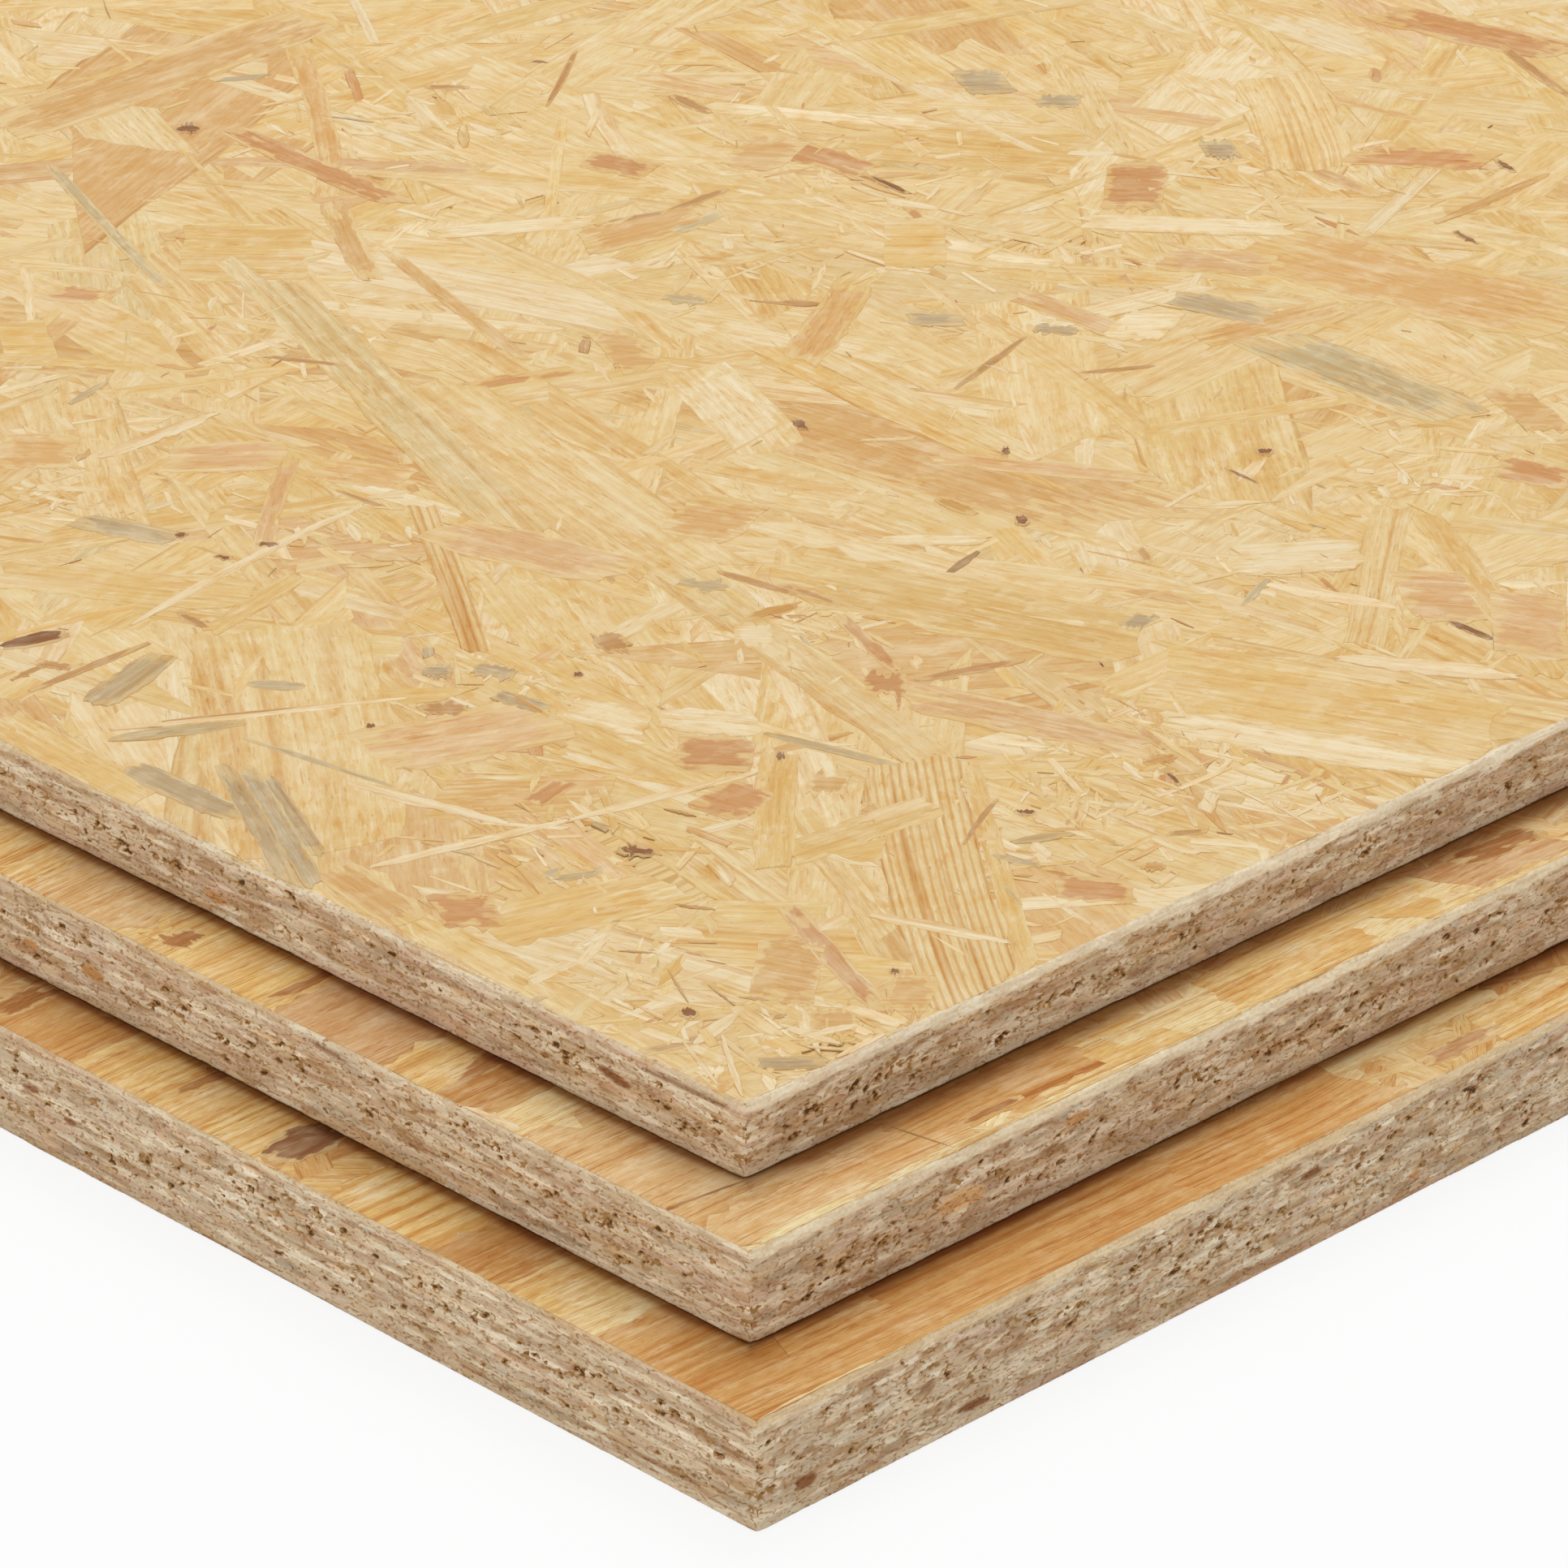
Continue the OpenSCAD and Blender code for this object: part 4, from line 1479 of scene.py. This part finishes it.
class Ring:
    """The sawn surface round a panel. Its columns go round from the near corner, where they are at 0:
    to the right along the side towards the photograph's right, and to the left below 0."""

    def __init__(self, name):
        self.low, self.high = BOX[name]
        self.long, self.wide, self.thickness = self.high - self.low
        self.half = self.long + self.wide
        self.corners = np.array([-self.half, -self.wide, 0, self.long, self.half])
        turns = np.array([-1, -0.5, 0, 0.5, 1]) * CORNER_ROUND
        plain = np.concatenate([
            np.arange(-self.half + 2, -NEAR_LEFT, FAR_STEP),
            np.arange(-NEAR_LEFT, NEAR_RIGHT, FINE_STEP),
            np.arange(NEAR_RIGHT, self.half - 2, FAR_STEP),
        ])
        ends = [CORNER_ROUND - self.half, self.half - CORNER_ROUND]
        turned = np.concatenate([-self.wide + turns, self.long + turns, ends])
        close = np.abs(plain[:, None] - turned[None]).min(1) < 0.5
        self.s = np.sort(np.concatenate([plain[~close], turned]))
        inner = np.arange(0.8, self.thickness - 0.6, FINE_STEP)
        self.z = np.concatenate([LOW_ROWS, inner, self.thickness - TOP_ROWS])
        shape = (len(self.s), len(self.z))
        self.tone = np.tile(SEAM, (*shape, 1))
        self.height = np.full(shape, -0.15)
        self.pit = np.zeros(shape)
        near = (self.s > -self.wide) & (self.s < self.long)
        self.gap = near * (GAP_LEAST + ragged(self.s * 0.11, GAP_MOST - GAP_LEAST)) * (name != PANELS[0])

    def paint(self, f, order):
        """Lays flakes or pits over the surface, in the given order."""
        soft = 0.3
        bend = f.get("bend", np.zeros(len(f["a"])))
        for k in order:
            half, tall = f["length"][k] / 2, f["width"][k] / 2
            i0, i1 = np.searchsorted(self.s, [f["a"][k] - half - soft, f["a"][k] + half + soft])
            ds, dz = self.s[i0:i1, None] - f["a"][k], self.z[None] - f["b"][k]
            cos, sin = math.cos(f["angle"][k]), math.sin(f["angle"][k])
            p = (ds * cos + dz * sin) / half
            q = (dz * cos - ds * sin - bend[k] * half * (p ** 2 - BOW_MEAN)) / tall
            reach = 1 - f["taper"][k] * np.abs(p) ** f["blunt"][k]
            share = np.clip((reach - np.abs(q)) * tall / soft + 0.5, 0, 1)
            share = share * np.clip((1 - np.abs(p)) * half / soft + 0.5, 0, 1)
            target = f["height"][k] + f["tilt"][k] * q
            self.height[i0:i1] += (target - self.height[i0:i1]) * share
            self.pit[i0:i1] += (f["pit"][k] - self.pit[i0:i1]) * share
            if f["pit"][k] == 0:
                self.tone[i0:i1] += (f["tone"][k] - self.tone[i0:i1]) * share[..., None]

    def wear(self, rng, name):
        """Roughens the surface, rounds its lower arris, breaks its upper one and crumbles its near corner."""
        self.height += rng.normal(0, GRIT, self.height.shape)
        self.round_lower_arris()
        self.break_upper_arris(name)
        self.crumble(*CRUMBLE[name])
        apart = np.abs(self.s[:, None] - self.corners).min(1, keepdims=True)
        limit = 0.9 * CORNER_ROUND + 0.9 * np.clip(apart - CORNER_ROUND, 0, None)
        self.height = np.maximum(self.height, -limit)

    def round_lower_arris(self):
        """Rounds it unevenly, and more where the panel lies on another."""
        least, wavy = (0.1, 0.25) if self.gap.any() else (0.04, 0.08)
        radius = least + ragged(self.s[:, None], wavy)
        bite = np.clip(1 - self.z[None] / radius, 0, 1)
        self.height -= radius * (1 - np.sqrt(1 - bite ** 2))

    def break_upper_arris(self, name):
        """Slopes it off, pale and clean with a painted highlight, and with small teeth that are deepest along
        the left side.
        """
        along, under = self.s[:, None], self.thickness - self.z[None]
        right = np.clip(along / 6 + 0.5, 0, 1) * (along < self.long)
        left = ARRIS_LEFT[name]
        tall = left + (ARRIS_RIGHT - left) * right + ragged(along * 0.31 + 40, 0.9) - 0.45
        tall = tall * (1.1 - ragged(along * 0.07 + 23, 0.5))
        slope = np.clip(1 - under / tall, 0, 1)
        off_corner = 0.5 + 0.5 * np.clip(np.abs(along) / 3, 0, 1)
        self.height -= ARRIS_SLOPE[name] * tall * slope ** 2 * off_corner
        # A pale band along the arris: paler broken wood and a painted highlight, broader on the right side
        crown_and_highlight = np.clip((tall - under) / 0.35 + 0.5, 0, 1) * (0.6 + ragged(along * 0.12 + 7, 0.4))
        crown_and_highlight = crown_and_highlight * (0.55 + 0.45 * right)
        self.tone += (ARRIS_PALE_AND_HIGHLIGHT[name] - self.tone) * crown_and_highlight[..., None]
        self.pit = self.pit * (1 - crown_and_highlight) - crown_and_highlight
        # Notches in the arris, coloured as pits: painted shade where they are deepest
        teeth = np.clip(3 * ragged(along * 1.7 + 90, 1) - 2, 0, 1)
        teeth = teeth * np.clip(1.4 - under, 0, 1) * (1 - 0.8 * right)
        self.height -= 0.3 * teeth
        self.pit += teeth

    def crumble(self, middle, reach, depth):
        """Breaks bits out of the near corner."""
        along, z = self.s[:, None], self.z[None]
        wave = 0.5 * np.sin(along * 2.1) + 0.5 * np.sin(z * 3.4 + along)
        rough = 0.6 + 0.4 * np.sin(z * 2.6 + 0.8 * np.sin(along * 1.7))
        eaten = np.clip(1.3 - (along / 3.2) ** 2 - ((z - middle) / reach) ** 2 + 0.5 * wave, 0, 1)
        self.height -= 0.15 * np.exp(-(along / 1.5) ** 2) + depth * eaten * rough
        # The crumbled bits are coloured as pits, with painted shade where they are deepest
        self.pit = np.where(eaten > 0, np.maximum(self.pit, 0.75 * eaten * rough), self.pit)

    def path(self):
        """The panel's outline and the outward direction at each column, with its corners rounded."""
        (x0, y0), (x1, y1) = self.low[:2], self.high[:2]
        ends = np.array([(x1, y1), (x0, y1), (x0, y0), (x1, y0), (x1, y1)])
        at = self.corners
        out = np.array([(0, 1), (-1, 0), (0, -1), (1, 0)], float)
        side = np.clip(np.searchsorted(at, self.s, "right") - 1, 0, 3)
        share = (self.s - at[side]) / (at[side + 1] - at[side])
        point = ends[side] + (ends[side + 1] - ends[side]) * share[:, None]
        normal = out[side]
        for k in (1, 2, 3):
            turn = (self.s - at[k]) / CORNER_ROUND
            here = np.abs(turn) <= 1
            angle = (turn[here, None] + 1) * math.pi / 4
            normal[here] = out[k - 1] * np.cos(angle) + out[k] * np.sin(angle)
            point[here] = ends[k] - CORNER_ROUND * (out[k - 1] + out[k]) + CORNER_ROUND * normal[here]
        return point, normal

    def build(self, name):
        """The closed mesh: the worked surface outside and a plain wall inside the board."""
        point, normal = self.path()
        columns, rows = self.height.shape
        outer = np.empty((columns, rows, 3))
        outer[..., :2] = point[:, None] + normal[:, None] * self.height[..., None]
        outer[..., 2] = self.low[2] + self.z + self.gap[:, None] * np.clip(1 - self.z / GAP_FADE, 0, 1)
        inner = np.empty((columns, 2, 3))
        inner[..., :2] = (point - normal * RING_DEPTH)[:, None]
        inner[:, 0, 2] = self.low[2] + self.thickness - WALL_UNDER_TOP
        inner[:, 1, 2] = self.low[2] + WALL_OVER_BOTTOM + self.gap
        points = np.concatenate([outer, inner], 1)
        tone = np.concatenate([self.tone, np.tile(SEAM, (columns, 2, 1))], 1)
        grain = np.zeros_like(points)
        grain[..., 0] = self.s[:, None]
        grain[:, :rows, 1] = self.z
        grain[:, rows:, 1] = self.z[[-1, 0]]
        grain[:, :rows, 2] = self.pit
        values = dict(grain=grain.reshape(-1, 3), tone=tone.reshape(-1, 3))
        count = rows + 2
        i, j = np.meshgrid(np.arange(columns), np.arange(count), indexing="ij")
        i2, j2 = (i + 1) % columns, (j + 1) % count
        quads = np.stack([i * count + j, i2 * count + j, i2 * count + j2, i * count + j2], -1).reshape(-1, 4)
        spots = self.map_spots(values["grain"][quads, 1] / self.thickness, count)
        sizes = np.full(len(quads), 4)
        joined(name, points.reshape(-1, 3) * MM, quads.ravel(), sizes, values, spots, SAWN_WOOD, True)

    def map_spots(self, level, count):
        """Places in the baked map, by corner: the way round in strips, one above the other."""
        reach = self.s[-1] - self.s[0]
        strips = int(round(math.sqrt(reach / self.thickness)))
        span = reach / strips
        start = np.repeat(self.s - self.s[0], count)
        strip = np.minimum(start // span, strips - 1)
        along = np.array([start] * 4).T
        along[:, 1:3] += np.repeat(np.append(np.diff(self.s), 0.5), count)[:, None]
        spots = np.empty((len(start), 4, 2))
        spots[..., 0] = (along - (strip * span)[:, None]) / (span + FAR_STEP + 1)
        spots[..., 1] = (strip[:, None] + STRIP_MARGIN + (1 - 2 * STRIP_MARGIN) * level) / strips
        return spots


def edges(name, seed):
    """The sawn edges of a panel: fine where the photograph looks, coarser elsewhere."""
    rng = np.random.default_rng(seed)
    ring = Ring(name)
    near = (-NEAR_LEFT, NEAR_RIGHT, ring.thickness)
    stretches = {
        "far left": (-ring.half, -NEAR_LEFT, ring.thickness),
        "far right": (NEAR_RIGHT, ring.half, ring.thickness),
        "left": (-NEAR_LEFT, 0, ring.thickness),
        "right": (0, NEAR_RIGHT, ring.thickness),
    }
    coats = []
    for key, stretch in stretches.items():
        coats.append(edge_flakes(flake_rows(*stretch, *FLAKES[key], rng), EDGE_SHARES[name], rng))
    coats.append(edge_chips(*near, CHIPS_UNDER, rng))
    for coat in coats:
        ring.paint(coat, rng.permutation(len(coat["a"])))
    coats = [edge_lenses(*stretches[key], *LENSES[key], rng) for key in LENSES]
    coats.append(edge_pits(*near, PITS, rng))
    coats.append(edge_chips(*near, CHIPS_OVER, rng))
    sheets = {
        "left": Sheet(ring.low, (0, 1, 0), (0, 0, 1), (-1, 0, 0)),
        "right": Sheet(ring.low, (1, 0, 0), (0, 0, 1), (0, -1, 0)),
    }
    for side, sheet in sheets.items():
        if (name, side) in EDGE_FLAKES:
            coats.append(photo_flakes(name, side, sheet, rng))
    for coat in coats:
        ring.paint(coat, range(len(coat["a"])))
    ring.wear(rng, name)
    ring.build(name + "_edges")


for number, panel in enumerate(PANELS):
    board(panel)
    edges(panel, SEED + 10 + number)
top_face()
ledge("middle_panel", SEED + 21)
ledge("bottom_panel", SEED + 22)


# Floor, light and camera
FLOOR_SIDE = 9000.0
FLOOR_DROP = 0.3
SHADOW_SHARE = 0.12
SKY = 0.5

# Soft boxes: where they stand, what they look at, their side in metres and their power in watts
LAMPS = {
    "overhead": ((0.55, 0.5, 2.2), (0, 0, 0), 1.7, 31.2),
    "left_fill": ((-2.4, -0.2, 0.6), (-0.6, -0.3, 0), 1.0, 9),
    "right_fill": ((-0.2, -2.4, 0.6), (-0.6, -0.3, 0), 1.0, 6.2),
}


def floor():
    """A plain white floor that keeps a soft shadow."""
    half = FLOOR_SIDE / 2 * MM
    mesh = bpy.data.meshes.new("floor")
    corners = [(-half, -half, 0), (half, -half, 0), (half, half, 0), (-half, half, 0)]
    mesh.from_pydata(corners, [], [(0, 1, 2, 3)])
    plane = bpy.data.objects.new("floor", mesh)
    plane.location.z = -FLOOR_DROP * MM
    bpy.context.collection.objects.link(plane)
    g = Graph("floor_white")
    path = g.node("ShaderNodeLightPath", {})
    g.feed(g.shader.inputs["Base Color"], (0.9, 0.9, 0.9, 1))
    g.feed(g.shader.inputs["Roughness"], 0.9)
    white = g.node("ShaderNodeEmission", {"Color": (1, 1, 1, 1), "Strength": 1.0}).outputs[0]
    seen = g.times(path.outputs["Is Camera Ray"], 1 - SHADOW_SHARE)
    mixed = g.node("ShaderNodeMixShader", {0: seen, 1: g.shader.outputs[0], 2: white}).outputs[0]
    g.tree.links.new(mixed, g.tree.nodes["Material Output"].inputs["Surface"])
    mesh.materials.append(g.material)


def soft_box(name, place, aim, side, watts):
    """A large square lamp."""
    lamp = bpy.data.lights.new(name, "AREA")
    lamp.shape = "SQUARE"
    lamp.size = side
    lamp.energy = watts
    lit = bpy.data.objects.new(name, lamp)
    lit.location = place
    lit.rotation_euler = (Vector(aim) - Vector(place)).to_track_quat("-Z", "Y").to_euler()
    bpy.context.collection.objects.link(lit)


def sky(strength):
    """An even white sky, which the camera sees as plain white."""
    world = bpy.data.worlds.new("studio")
    bpy.context.scene.world = world
    world.use_nodes = True
    tree = world.node_tree
    path = tree.nodes.new("ShaderNodeLightPath")
    level = tree.nodes.new("ShaderNodeMix")
    level.inputs[2].default_value = strength
    level.inputs[3].default_value = 1.0
    tree.links.new(path.outputs["Is Camera Ray"], level.inputs[0])
    tree.links.new(level.outputs[0], tree.nodes["Background"].inputs["Strength"])
    tree.nodes["Background"].inputs["Color"].default_value = (1, 1, 1, 1)


def camera():
    """The photograph's camera."""
    made = bpy.data.cameras.new("photo_camera")
    made.sensor_width = SENSOR
    made.lens = SENSOR * FOCAL_PIXELS / PHOTO_SIDE
    made.clip_start = 0.01
    made.clip_end = 50
    eye = bpy.data.objects.new("photo_camera", made)
    eye.location = EYE * MM
    eye.rotation_euler = Vector(AIM).to_track_quat("-Z", "Y").to_euler()
    bpy.context.collection.objects.link(eye)
    bpy.context.scene.camera = eye


floor()
sky(SKY)
for lamp, settings in LAMPS.items():
    soft_box(lamp, *settings)
camera()
bpy.context.scene.view_settings.view_transform = "Standard"
